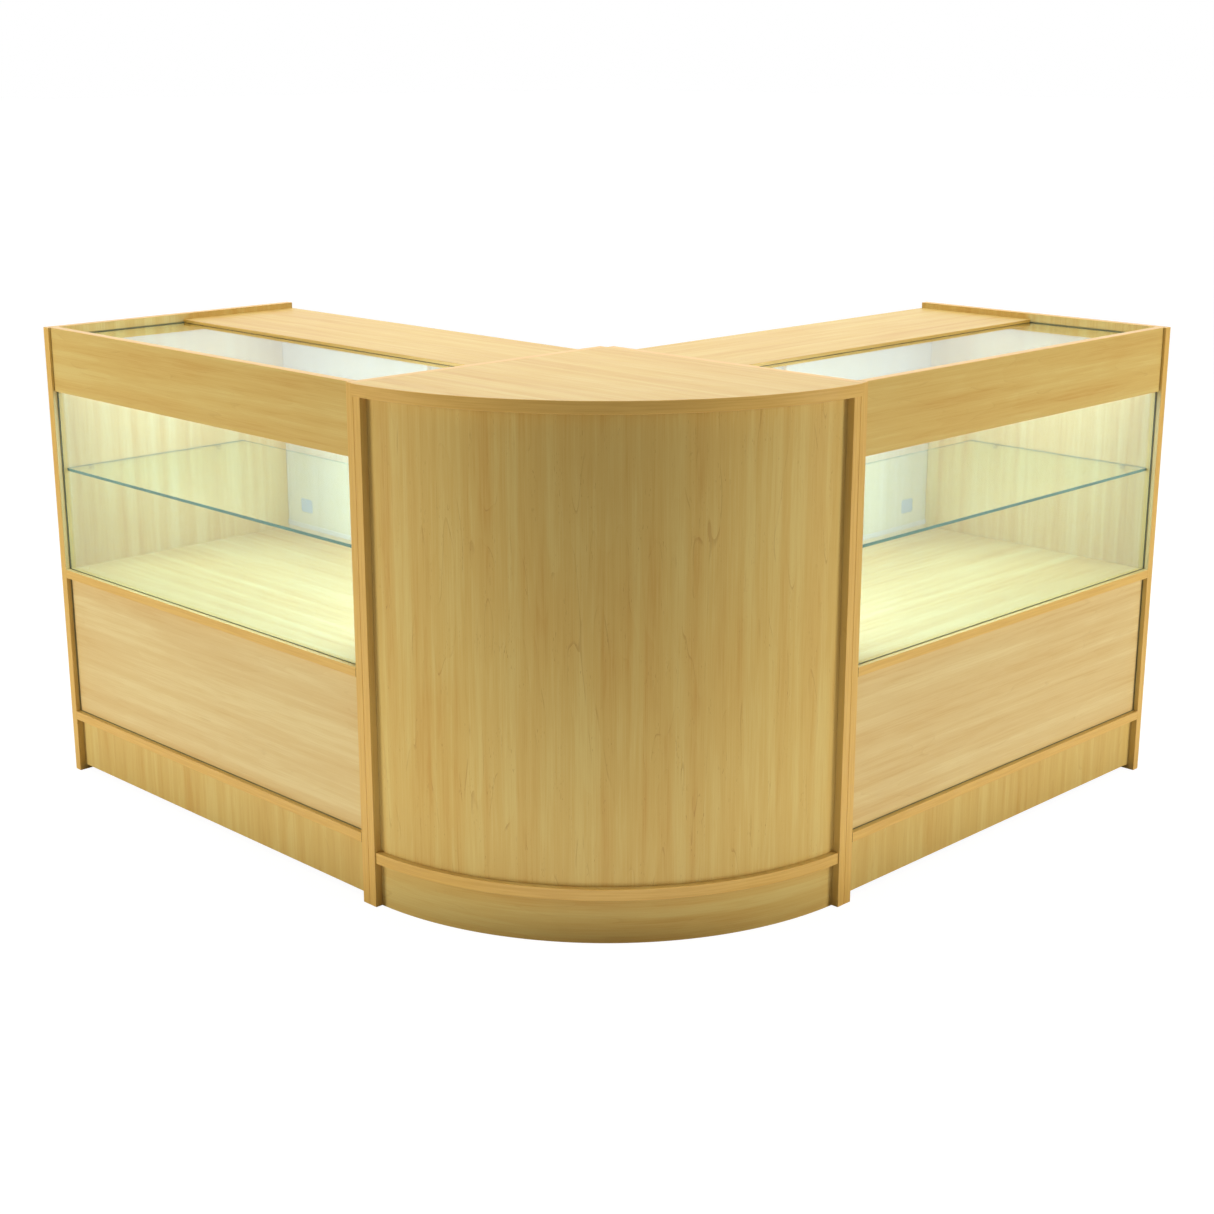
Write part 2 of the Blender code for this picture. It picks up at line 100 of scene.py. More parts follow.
# Lock pieces as turned profiles: (radius, distance in from the staff door's face), in metres
HOUSING = (
    (0.0066, -0.0125), (0.0100, -0.0125), (0.0100, -0.0033), (0.0125, -0.0033),
    (0.0125, -0.0003), (0.0090, -0.0003), (0.0090, 0.0077), (0.0066, 0.0077),
)
BARREL = (
    (NEAR_AXIS, -0.0122), (0.0044, -0.0122), (0.0044, -0.0205), (0.00635, -0.0205),
    (0.00635, 0.0020), (0.0040, 0.0020), (0.0040, 0.0085), (NEAR_AXIS, 0.0085),
)
KEY_PLUG = ((NEAR_AXIS, -0.0208), (0.0042, -0.0208), (0.0042, -0.0125), (NEAR_AXIS, -0.0125))
KEYWAY = ((-0.0007, 0.0007), (-0.03, -0.0158), (-0.003, 0.003))
# Radius of the hole that the lock needs in each door
LOCK_HOLES = {"near": 0.0093, "far": 0.0046}

# Fittings: distances from a board's ends, from the staff edge, and above or under a board
CAP_INSET, DECK_CAPS, SHELF_CAPS = 0.034, (0.08, 0.30, 0.50), (0.08, 0.34)
BOLTS_ACROSS, BOLT_OVER_BASE, BOLT_UNDER_DECK = (0.07, 0.46), 0.06, 0.05
SCREWS, SCREW_INSET = 6, 0.05

# Sine of half the corner's angle, for the camera's place
HALF_CORNER = 0.70711

# Lamps: name, place, extent, and the setting that holds the power
LAMPS_AIM = Vector((0.1, -0.1, 0.55))
SOFTBOXES = (
    ("left_softbox", (-2.4, -4.5, 1.15), (1.6, 2.2), "side_power"),
    ("right_softbox", (4.5, 2.4, 1.15), (1.6, 2.2), "side_power"),
    ("top_softbox", (0.0, 0.0, 3.4), (2.4, 2.4), "top_power"),
    ("rear_softbox", (-1.9, 1.9, 3.4), (2.4, 2.0), "rear_power"),
)
# Reflectors on the floor: name, place, turn, extent, and the setting that holds the power
REFLECTORS = (
    ("front_reflector", (0.863, -0.863), pi / 4, (1.6, 0.5), "front_reflector"),
    ("left_reflector", (-0.3, -1.15), 0.0, (1.2, 0.5), "wing_reflector"),
    ("right_reflector", (1.15, 0.3), pi / 2, (1.2, 0.5), "wing_reflector"),
)


def linear(hex_colour):
    """An sRGB hex colour as linear red, green and blue."""
    shares = [int(hex_colour[start : start + 2], 16) / 255 for start in (1, 3, 5)]
    return tuple(c / 12.92 if c <= 0.04045 else ((c + 0.055) / 1.055) ** 2.4 for c in shares)


def size(name, description, default):
    return FloatProperty(name=name, description=description, default=default, unit="LENGTH", precision=5)


def tone(name, description, default):
    return FloatVectorProperty(
        name=name, description=description, default=linear(default), subtype="COLOR", min=0.0, max=1.0
    )


def amount(name, description, default):
    return FloatProperty(name=name, description=description, default=default, min=0.0)


def power(name, description, default):
    return FloatProperty(name=name, description=description, default=default, unit="POWER")


# --------------------------------------------------------------------------- settings


class BoardSettings(bpy.types.PropertyGroup):
    """Foiled boards and their edges."""

    edge_radius: size("Edge radius", "Rounding of a taped edge", 0.0010)
    sheet_radius: size("Sheet radius", "Rounding of the thin sheets' edges", 0.0005)
    groove_spare: size("Groove spare", "Room round a pane in its groove", 0.0005)
    foil_pale: tone("Foil, pale", "Palest wood tone of the foil", "#DABE71")
    foil_mid: tone("Foil, middle", "Middle wood tone of the foil", "#D4B162")
    foil_warm: tone("Foil, warm", "Warmest wood tone of the foil", "#CB9F51")
    sheet_pale: tone("Sheet foil, pale", "Palest tone of the thin front sheets", "#E2C98A")
    sheet_warm: tone("Sheet foil, warm", "Warmest tone of the thin front sheets", "#D3AE6C")
    growth_line: tone("Growth lines", "Brown lines between the growth bands", "#A8763C")
    tape_pale: tone("Tape, pale", "Palest tone of the edge tape", "#E2B65E")
    tape_warm: tone("Tape, warm", "Warmest tone of the edge tape", "#D8A952")
    door_pale: tone("Door foil, pale", "Palest tone of the doors' foil", "#E6D59A")
    door_warm: tone("Door foil, warm", "Warmest tone of the doors' foil", "#DCC888")
    core: tone("Core", "Chipboard seen in the grooves", "#77613B")
    arc_steps: IntProperty(name="Arc steps", description="Facets of the quarter round", default=120, min=12)


class GlassSettings(bpy.types.PropertyGroup):
    """Panes and shelves."""

    arris: size("Arris", "Ground chamfer on a pane's edges", 0.0006)
    tint: tone("Tint", "Colour of the glass seen square on", "#F4FFF9")
    edge: tone("Edge", "Colour of a polished edge", "#4A7C67")
    strip: size("Glazing strip", "Thickness of the strip along a pane's foot and sides", 0.0018)
    strip_ease: size("Strip ease", "Rounding of the glazing strip", 0.0004)
    # The strip's dark olive is partly painted shade: it darkens the line in the grooves at a pane's foot and
    # sides
    strip_shade_colour: tone("Strip colour", "Soft plastic of the glazing strip", "#756E42")


class HardwareSettings(bpy.types.PropertyGroup):
    """Door tracks, pulls, locks, studs and fixings."""

    track_wall: size("Track wall", "Thickness of a track's ribs", 0.002)
    track_base: size("Track base", "Thickness of a track's base", 0.003)
    rib_tip: size("Rib tip", "Rounding of a track's ribs", 0.0006)
    pull_overlap: size("Pull overlap", "How far a pull's flange overlaps its door", 0.003)
    pull_flange: size("Pull flange", "Thickness of a pull's flange", 0.0015)
    pull_wall: size("Pull wall", "Wall thickness of a finger pull", 0.0018)
    pull_corner: size("Pull corner", "Corner radius of a finger pull", 0.005)
    fit: size("Fit", "Gap round a piece let into a board", 0.0003)
    cap_radius: size("Cover cap", "Radius of a cam fitting's cover cap", 0.0085)
    cap_rise: size("Cover cap rise", "How proud a cover cap stands", 0.0012)
    bolt_radius: size("Joining bolt", "Radius of a joining bolt's head", 0.0080)
    bolt_rise: size("Joining bolt rise", "How proud a joining bolt's head stands", 0.0024)
    screw_radius: size("Track screw", "Radius of a track screw's head", 0.0032)
    screw_rise: size("Track screw rise", "How proud a track screw's head stands", 0.0003)
    track_colour: tone("Tracks", "Extruded plastic of the door tracks", "#E3D6B4")
    pull_colour: tone("Pulls", "Moulded plastic of the finger pulls", "#8DA7AE")
    cap_colour: tone("Cover caps", "Moulded plastic of the cover caps", "#D2AE70")
    nickel: tone("Nickel", "Nickel plate of locks, studs and bolts", "#C9C6BE")
    facets: IntProperty(name="Facets", description="Facets round a turned piece", default=48, min=12)


class StageSettings(bpy.types.PropertyGroup):
    """Floor, lights and camera."""

    floor_colour: tone("Floor", "Pale studio floor", "#6E6E6D")
    floor_glow: amount("Floor glow", "Light the floor adds to what the camera sees of it", 0.94)
    floor_bounce: amount("Floor bounce", "Share of light that the floor gives back to the counter", 0.58)
    sky: amount("Sky", "Strength of the even light from all round", 0.15)
    sheen: amount("Sheen", "Strength of the white studio in satin reflections", 1.45)
    mirror: amount("Mirror", "Strength of the white studio in the glass", 0.65)
    floor_mirror: amount("Floor mirror", "Strength of the floor in the glass", 0.5)
    side_power: power("Side lights", "Power of each", 130)
    top_power: power("Top light", "Power", 54)
    front_reflector: power("Front reflector", "Power, at the foot of the corner", 3.4)
    wing_reflector: power("Wing reflectors", "Power of each, at the foot of a counter", 0.9)
    rear_power: power("Rear light", "Power", 50)
    case_power: power("Case lights", "Power of each", 9.2)
    fill_power: power("Case fill", "Power of each", 7.8)
    case_tone: tone("Case light tone", "Cool daylight tube under green glass", "#8EAAFF")
    distance: size("Camera distance", "From the inner corner, in plan", 3.7201)
    height: size("Camera height", "Above the floor", 1.4669)
    tilt: FloatProperty(name="Tilt", description="Below the horizon", default=radians(15.5), subtype="ANGLE")
    lens: FloatProperty(name="Lens", description="Focal length in millimetres", default=59.09)


SETTINGS = {
    "counter_boards": BoardSettings,
    "counter_glass": GlassSettings,
    "counter_hardware": HardwareSettings,
    "counter_stage": StageSettings,
}


def settings(name):
    return getattr(bpy.context.scene, "counter_" + name)


# --------------------------------------------------------------------------- materials


def fill_in(tree, node, inputs):
    """Gives a node's inputs their values, or the sockets to link them from."""
    for key, value in inputs.items():
        if isinstance(value, bpy.types.NodeSocket):
            tree.links.new(value, node.inputs[key])
        else:
            node.inputs[key].default_value = value


def add_node(tree, kind, inputs=None, **options):
    """Adds a node with its options and its inputs."""
    node = tree.nodes.new(kind)
    for name, value in options.items():
        setattr(node, name, value)
    fill_in(tree, node, inputs or {})
    return node


def new_material(name):
    """A material with a bare Principled shader; returns it, its tree and the shader."""
    material = bpy.data.materials.new(name)
    material.use_nodes = True
    tree = material.node_tree
    return material, tree, tree.nodes["Principled BSDF"]


def wood_noise(tree, along, across, detail=2.0, shift=0.0, wobble=0.0):
    """Noise drawn out along the grain; along and across are its sizes in metres."""
    place = add_node(tree, "ShaderNodeAttribute", attribute_name=GRAIN).outputs["Vector"]
    stretch = (1 / along, 1 / across, 1 / across)
    moved = add_node(
        tree, "ShaderNodeMapping", {"Vector": place, "Scale": stretch, "Location": (shift, shift, shift)}
    )
    inputs = {"Vector": moved.outputs["Vector"], "Scale": 1.0, "Detail": detail, "Distortion": wobble}
    return add_node(tree, "ShaderNodeTexNoise", inputs).outputs["Fac"]


def own_noise(tree, scale, detail=2.0):
    """Noise in the piece's own coordinates; scale is how many spots lie in a metre."""
    place = add_node(tree, "ShaderNodeTexCoord").outputs["Object"]
    inputs = {"Vector": place, "Scale": scale, "Detail": detail}
    return add_node(tree, "ShaderNodeTexNoise", inputs).outputs["Fac"]


def bump(tree, height, strength, distance):
    inputs = {"Height": height, "Strength": strength, "Distance": distance}
    return add_node(tree, "ShaderNodeBump", inputs).outputs["Normal"]


def spread(tree, value, low, high, to_low=0.0, to_high=1.0):
    """Maps a value's range to another, smoothly and clamped."""
    inputs = {"Value": value, "From Min": low, "From Max": high, "To Min": to_low, "To Max": to_high}
    return add_node(tree, "ShaderNodeMapRange", inputs, interpolation_type="SMOOTHSTEP").outputs["Result"]


def maths(tree, operation, first, second=0.0, third=0.0):
    inputs = {0: first, 1: second, 2: third}
    return add_node(tree, "ShaderNodeMath", inputs, operation=operation).outputs[0]


def blend(tree, factor, first, second):
    """Mixes two colours; each is a socket or a linear colour."""
    colours = [c if isinstance(c, bpy.types.NodeSocket) else (*c, 1.0) for c in (first, second)]
    inputs = {0: factor, 6: colours[0], 7: colours[1]}
    return add_node(tree, "ShaderNodeMix", inputs, data_type="RGBA").outputs[2]


def mix_shaders(tree, factor, first, second):
    return add_node(tree, "ShaderNodeMixShader", {0: factor, 1: first, 2: second}).outputs[0]


def darker(colour, share):
    return tuple(share * c for c in colour)


def growth_rings(tree, along, across, rings, shift):
    """Contours of a stretched noise: loops, pointed arches and near-straight lines, as in sawn wood."""
    height = wood_noise(tree, along, across, 2.5, shift, 0.15)
    return maths(tree, "FRACT", maths(tree, "MULTIPLY", height, rings))


def wood_print(name, pale, warm, line, depth=1.0, mid=None):
    """Wood-print foil under satin lacquer: soft bands, sparse brown growth lines and fine fibres."""
    material, tree, shader = new_material(name)
    mid = mid or tuple((a + b) / 2 for a, b in zip(pale, warm))
    # Bands 22 mm wide, rings up to 40 mm apart, flames 7 mm wide, fibres drawn 1.4 mm wide
    bands = wood_noise(tree, 0.90, 0.022, 3.0, 2.3)
    rings = growth_rings(tree, 0.80, 0.110, 13.0, 5.1)
    flames = wood_noise(tree, 0.075, 0.007, 2.0, 8.9, 0.4)
    clouds = wood_noise(tree, 0.30, 0.16, 2.0, 1.7)
    fibres = wood_noise(tree, 0.13, 0.0014, 3.0, 4.4)
    mood = maths(tree, "MULTIPLY", spread(tree, bands, 0.30, 0.70), 0.46)
    for layer, low, high, weight in (
        (rings, 0.0, 1.0, 0.07),
        (flames, 0.35, 0.68, 0.11),
        (clouds, 0.36, 0.64, 0.14),
        (fibres, 0.30, 0.70, 0.22),
    ):
        mood = maths(tree, "MULTIPLY_ADD", spread(tree, layer, low, high), weight, mood)
    ground = blend(tree, spread(tree, mood, 0.10, 0.55), pale, mid)
    ground = blend(tree, spread(tree, mood, 0.50, 1.00), ground, warm)
    # A brown line closes each growth ring, 1 to 2 mm wide, and fades in and out along it;
    # pore flecks 1 mm wide and 9 mm long lie near the lines
    line_edge = spread(tree, rings, 0.93, 0.985)
    presence = spread(tree, wood_noise(tree, 0.075, 0.016, 1.0, 7.7), 0.50, 0.66)
    flecks = spread(tree, wood_noise(tree, 0.0090, 0.0011, 0.0, 3.3), 0.74, 0.80)
    for marks, strength in ((line_edge, 0.34), (flecks, 0.55)):
        shown = maths(tree, "MULTIPLY", maths(tree, "MULTIPLY", marks, presence), strength * depth)
        ground = blend(tree, shown, ground, line)
    # The embossed print stands a few hundredths of a millimetre deep
    look = {
        "Base Color": ground,
        "Roughness": spread(tree, fibres, 0.2, 0.8, 0.36, 0.47),
        "Specular IOR Level": 0.24,
        "Normal": bump(tree, fibres, 0.25, 0.00006),
    }
    fill_in(tree, shader, look)
    return material


def maple_foil():
    """Maple-print melamine foil on chipboard: warm, satin, lightly embossed."""
    s = settings("boards")
    return wood_print("maple_print_foil", s.foil_pale, s.foil_warm, s.growth_line, 0.4, s.foil_mid)


def bent_foil():
    """The same print on the bent front sheet, cut where the growth lines show most."""
    s = settings("boards")
    return wood_print("maple_print_bent_sheet", s.foil_pale, s.foil_warm, s.growth_line, 1.0, s.foil_mid)


def sheet_foil():
    """The same print on the thin front sheets, in paler tones than the boards' foil."""
    s = settings("boards")
    return wood_print("maple_print_sheet", s.sheet_pale, s.sheet_warm, s.growth_line, 0.3)


def door_foil():
    """Pale lining foil on the doors: the same print with little contrast."""
    s = settings("boards")
    return wood_print("pale_lining_foil", s.door_pale, s.door_warm, s.foil_warm, 0.6)


def edge_tape():
    """ABS edge tape with a straight wood print: a little deeper and glossier than the foil."""
    s = settings("boards")
    material, tree, shader = new_material("maple_print_edge_tape")
    # Streaks 3 mm wide and 120 mm long, fibres drawn 1 mm wide
    streaks = wood_noise(tree, 0.12, 0.003, 2.0, 2.9)
    fibres = wood_noise(tree, 0.05, 0.0010, 2.0, 6.1)
    mood = maths(tree, "MULTIPLY_ADD", streaks, 0.65, maths(tree, "MULTIPLY", fibres, 0.35))
    colour = blend(tree, spread(tree, mood, 0.36, 0.64), s.tape_pale, s.tape_warm)
    rough = spread(tree, fibres, 0.2, 0.8, 0.32, 0.42)
    fill_in(tree, shader, {"Base Color": colour, "Roughness": rough})
    return material


def chipboard():
    """Raw chipboard in the grooves and at butted ends: dull brown chips of 1 to 3 mm."""
    s = settings("boards")
    material, tree, shader = new_material("raw_chipboard")
    place = add_node(tree, "ShaderNodeAttribute", attribute_name=GRAIN).outputs["Vector"]
    chips = add_node(tree, "ShaderNodeTexVoronoi", {"Vector": place, "Scale": 450.0}).outputs
    colour = blend(tree, chips["Color"], s.core, darker(s.core, 0.55))
    normal = bump(tree, chips["Distance"], 0.6, 0.0004)
    fill_in(tree, shader, {"Base Color": colour, "Roughness": 0.85, "Normal": normal})
    return material


def let_lamps_through(tree, shader, tint):
    """Light reaches what is behind the glass: shadow and bounce rays pass it straight, lightly tinted."""
    path = add_node(tree, "ShaderNodeLightPath").outputs
    straight = maths(tree, "MAXIMUM", path["Is Shadow Ray"], path["Is Diffuse Ray"])
    clear = add_node(tree, "ShaderNodeBsdfTransparent", {"Color": (*tint, 1.0)})
    mixed = mix_shaders(tree, straight, shader.outputs[0], clear.outputs[0])
    fill_in(tree, tree.nodes["Material Output"], {"Surface": mixed})


def float_glass():
    """Toughened float glass: clear with a faint green cast and a mirror-smooth face."""
    s = settings("glass")
    material, tree, shader = new_material("clear_float_glass")
    # The tempering oven leaves waves 150 mm long and a few hundredths of a millimetre high
    look = {
        "Base Color": (*s.tint, 1.0),
        "Transmission Weight": 1.0,
        "IOR": 1.52,
        "Roughness": 0.0,
        "Normal": bump(tree, own_noise(tree, 6.7, 0.0), 0.3, 0.0003),
    }
    fill_in(tree, shader, look)
    let_lamps_through(tree, shader, tuple(c**0.5 for c in s.tint))
    return material


def glass_edge():
    """Polished edge of float glass: light travels along the pane and comes out deep green."""
    s = settings("glass")
    material, tree, shader = new_material("polished_glass_edge")
    drift = spread(tree, own_noise(tree, 9.0, 1.0), 0.35, 0.65)
    colour = blend(tree, drift, s.edge, darker(s.edge, 0.80))
    fill_in(tree, shader, {"Base Color": colour, "Roughness": 0.12, "IOR": 1.52})
    return material


def plastic(name, colour, roughness, grain):
    """A moulded or extruded plastic; grain is the size of its surface texture in metres."""
    material, tree, shader = new_material(name)
    texture = own_noise(tree, 1 / grain, 3.0)
    drift = spread(tree, own_noise(tree, 14.0), 0.3, 0.7)
    look = {
        "Base Color": blend(tree, drift, colour, darker(colour, 0.88)),
        "Roughness": spread(tree, texture, 0.3, 0.7, roughness - 0.05, roughness + 0.07),
        "Normal": bump(tree, texture, 0.2, 0.0001),
    }
    fill_in(tree, shader, look)
    return material


def strip_plastic_and_shade():
    """Soft PVC glazing strip, satin, with a drawn texture of 1 mm; its dark olive is partly painted shade, the
    dark line of the groove round a pane.
    """
    return plastic("soft_pvc_glazing_strip", settings("glass").strip_shade_colour, 0.5, 0.001)


def track_plastic():
    """Extruded PVC door track: ivory and satin, with a texture of 1.2 mm from the die."""
    return plastic("extruded_pvc_track", settings("hardware").track_colour, 0.42, 0.0012)


def pull_plastic():
    """Injection-moulded ABS finger pull: blue-grey with a fine spark-eroded texture of 0.4 mm."""
    return plastic("moulded_abs_pull", settings("hardware").pull_colour, 0.48, 0.0004)


def cap_plastic():
    """Moulded polyethylene cover cap in the foil's wood tone, soft satin."""
    return plastic("moulded_cover_cap", settings("hardware").cap_colour, 0.5, 0.0008)


def nickel_plate():
    """Nickel plate over turned brass: warm bright metal with fine lathe marks of 0.3 mm."""
    s = settings("hardware")
    material, tree, shader = new_material("nickel_plate")
    marks = own_noise(tree, 3300.0)
    wear = spread(tree, own_noise(tree, 220.0, 3.0), 0.35, 0.7)
    look = {
        "Base Color": blend(tree, wear, s.nickel, darker(s.nickel, 0.8)),
        "Metallic": 1.0,
        "Roughness": spread(tree, marks, 0.3, 0.7, 0.18, 0.32),
    }
    fill_in(tree, shader, look)
    return material


def paint_floor():
    """Seamless white paper: seen almost pure white, dimmer in the glass, and it gives less light back."""
    s = settings("stage")
    material, tree, shader = new_material("seamless_paper_floor")
    look = {
        "Base Color": blend(tree, own_noise(tree, 700.0), s.floor_colour, darker(s.floor_colour, 0.97)),
        "Roughness": 0.9,
        "Specular IOR Level": 0.1,
        "Emission Color": (1.0, 1.0, 1.0, 1.0),
        "Emission Strength": s.floor_glow,
    }
    fill_in(tree, shader, look)
    path = add_node(tree, "ShaderNodeLightPath").outputs
    dim = add_node(tree, "ShaderNodeBsdfDiffuse", {"Color": (s.floor_bounce,) * 3 + (1.0,)})
    glow = add_node(tree, "ShaderNodeEmission", {"Strength": s.floor_mirror})
    below = mix_shaders(tree, path["Is Singular Ray"], dim.outputs[0], glow.outputs[0])
    seen = maths(tree, "MAXIMUM", path["Is Camera Ray"], path["Is Transmission Ray"])
    mixed = mix_shaders(tree, seen, below, shader.outputs[0])
    fill_in(tree, tree.nodes["Material Output"], {"Surface": mixed})
    return material


MAKERS = {
    "foil": maple_foil,
    "bent_foil": bent_foil,
    "sheet_foil": sheet_foil,
    "door_foil": door_foil,
    "tape": edge_tape,
    "core": chipboard,
    "glass": float_glass,
    "glass_edge": glass_edge,
    "strip": strip_plastic_and_shade,
    "track": track_plastic,
    "pull": pull_plastic,
    "cap": cap_plastic,
    "nickel": nickel_plate,
    "floor": paint_floor,
}
made_finishes = {}


def finish_called(name):
    """One shared material for each finish, made when it is first asked for."""
    if name not in made_finishes:
        made_finishes[name] = MAKERS[name]()
    return made_finishes[name]


# --------------------------------------------------------------------------- places


def ranges(side, node):
    """A CAD node's (low, high) along, across and up its counter."""
    low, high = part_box(f"{side}_{node}")
    low, high = low - CORNER, high - CORNER
    if side == "left":
        return [(-high.x, -low.x), (-high.y, -low.y), (low.z, high.z)]
    return [(low.y, high.y), (low.x, high.x), (low.z, high.z)]


def corner_spans(node):
    low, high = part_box("corner_" + node)
    return [(a, b) for a, b in zip(low - CORNER, high - CORNER)]


def to_row(side):
    """The matrix from a counter's own axes, or the corner unit's, to the row frame."""
    turned = {
        "left": ((-1, 0, 0, 0), (0, -1, 0, 0), (0, 0, 1, 0), (0, 0, 0, 1)),
        "right": ((0, 1, 0, 0), (1, 0, 0, 0), (0, 0, 1, 0), (0, 0, 0, 1)),
        "corner": ((1, 0, 0, 0), (0, 1, 0, 0), (0, 0, 1, 0), (0, 0, 0, 1)),
    }
    return Matrix.Translation(CORNER) @ Matrix(turned[side])


def grown(spans, *extra):
    """Spans made larger at both ends, by an amount for each axis."""
    return [(low - more, high + more) for (low, high), more in zip(spans, extra)]


def middle(span):
    return (span[0] + span[1]) / 2


def half_length(span):
    return (span[1] - span[0]) / 2


# --------------------------------------------------------------------------- shapes


def box_shape(spans):
    shape = bmesh.new()
    bmesh.ops.create_cube(shape, size=1.0)
    for vert in shape.verts:
        for axis, span in enumerate(spans):
            vert.co[axis] = span[1] if vert.co[axis] > 0 else span[0]
    shape.normal_update()
    return shape


def is_raw(face, raw):
    return any(face.normal[axis] * sign > SQUARE for axis, sign in raw)


def ease(shape, edges, radius, segments=3):
    """Rounds edges, or grinds a flat chamfer on them with a single segment."""
    bmesh.ops.bevel(
        shape,
        geom=list(edges),
        offset=radius,
        offset_type="OFFSET",
        segments=segments,
        profile=0.5,
        affect="EDGES",
        clamp_overlap=True,
    )
    shape.normal_update()


def board_shape(spans, thin, radius, raw=()):
    """A board with rounded edges; raw lists (axis, sign) of the cut ends, which stay sharp."""
    shape = box_shape(spans)
    ease(shape, [e for e in shape.edges if not any(is_raw(f, raw) for f in e.link_faces)], radius)
    for face in shape.faces:
        wide = abs(face.normal[thin]) > SQUARE
        face.material_index = FACE if wide else (CORE if is_raw(face, raw) else TAPE)
    return shape


def skin(rings, closed=False):
    """A shape skinned over rings of points, capped at both ends, or joined end to start."""
    shape = bmesh.new()
    loops = [[shape.verts.new(point) for point in ring] for ring in rings]
    pairs = list(zip(loops, loops[1:])) + ([(loops[-1], loops[0])] if closed else [])
    for first, second in pairs:
        for step in range(len(first)):
            after = (step + 1) % len(first)
            shape.faces.new((first[step], first[after], second[after], second[step]))
    if not closed:
        shape.faces.new(loops[0][::-1])
        shape.faces.new(loops[-1])
    bmesh.ops.recalc_face_normals(shape, faces=shape.faces)
    return shape


def softened(points, radius, steps=3, closed=False):
    """A path in two dimensions with its corners rounded; radius may be one for each point."""
    count = len(points)
    radii = radius if isinstance(radius, (list, tuple)) else [radius] * count
    path = []
    for index, (x, y) in enumerate(points):
        if radii[index] <= 0 or (not closed and index in (0, count - 1)):
            path.append((x, y))
            continue
        here = Vector((x, y))
        before = Vector(points[index - 1]) - here
        after = Vector(points[(index + 1) % count]) - here
        reach = min(radii[index], before.length * 0.45, after.length * 0.45)
        start, end = here + before.normalized() * reach, here + after.normalized() * reach
        for step in range(steps + 1):
            t = step / steps
            path.append(tuple(start * (1 - t) ** 2 + here * 2 * t * (1 - t) + end * t * t))
    return path


def turned_shape(profile, centre, axis, closed=False):
    """A turned piece: (radius, height) points about an axis of the counter through the centre."""
    facets = settings("hardware").facets
    first, second = [other for other in AXES if other != axis]
    rings = []
    for radius, height in profile:
        ring = []
        for step in range(facets):
            angle = 2 * pi * step / facets
            point = Vector(centre)
            point[axis] += height
            point[first] += radius * cos(angle)
            point[second] += radius * sin(angle)
            ring.append(point)
        rings.append(ring)
    return skin(rings, closed)


def rounded_rectangle(centre, half, radius, depth, steps=5):
    """Points round a rectangle that stands across a counter, with rounded corners."""
    points = []
    for quarter, (sign_along, sign_up) in enumerate(((1, 1), (-1, 1), (-1, -1), (1, -1))):
        for step in range(steps + 1):
            angle = (quarter + step / steps) * pi / 2
            along = centre[ALONG] + sign_along * (half[0] - radius) + radius * cos(angle)
            up = centre[UPWARD] + sign_up * (half[1] - radius) + radius * sin(angle)
            points.append(Vector((along, depth, up)))
    return points


def loose_object(shape, materials=3):
    """A working copy of a shape, for a modifier to act on."""
    mesh = bpy.data.meshes.new("working")
    shape.to_mesh(mesh)
    for _ in range(materials):
        mesh.materials.append(None)
    obj = bpy.data.objects.new("working", mesh)
    bpy.context.scene.collection.objects.link(obj)
    return obj


def evaluated_copy(obj):
    graph = bpy.context.evaluated_depsgraph_get()
    return bpy.data.meshes.new_from_object(
        obj.evaluated_get(graph), preserve_all_data_layers=True, depsgraph=graph
    )


def carve(shape, cutters):
    """Cuts cutters out of a shape; the cut faces show the raw core."""
    for cutter in cutters:
        for face in cutter.faces:
            face.material_index = CORE
    body = loose_object(shape)
    tools = [loose_object(cutter) for cutter in cutters]
    for tool in tools:
        cut = body.modifiers.new("Cut", "BOOLEAN")
        cut.operation, cut.solver, cut.object = "DIFFERENCE", "EXACT", tool
    mesh = evaluated_copy(body)
    for obj in (body, *tools):
        bpy.data.objects.remove(obj)
    carved = bmesh.new()
    carved.from_mesh(mesh)
    bpy.data.meshes.remove(mesh)
    bmesh.ops.remove_doubles(carved, verts=carved.verts, dist=1e-6)
    carved.normal_update()
    return carved


def unrolled(point, radius):
    """A point of a curved sheet as (length round the arc, distance from the corner, height)."""
    return Vector((atan2(point.y, point.x) * radius, point.xy.length, point.z))


def lay_grain(mesh, along, thin, seed, radius=0.0, wrapped=()):
    """Stores where each face corner lies in the sheet it was cut from: along, across and through it."""
    shift = (seed * 0.7317 % 3.1, seed * 1.3711 % 2.3, seed * 0.5773 % 1.7)
    values = []
    for face in mesh.polygons:
        bent = face.material_index in wrapped
        # The third axis is what the other two leave of 0 + 1 + 2
        order = (along, 3 - along - thin, thin)
        if face.material_index == TAPE and not bent:
            # Tape runs along the edge it covers
            run = min((axis for axis in AXES if axis != thin), key=lambda axis: abs(face.normal[axis]))
            order = (run, thin, 3 - run - thin)
        for corner in face.loop_indices:
            point = mesh.vertices[mesh.loops[corner].vertex_index].co
            point = unrolled(point, radius) if bent else point
            values.extend(point[axis] + move for axis, move in zip(order, shift))
    stored = mesh.attributes.new(GRAIN, "FLOAT_VECTOR", "CORNER")
    stored.data.foreach_set("vector", values)


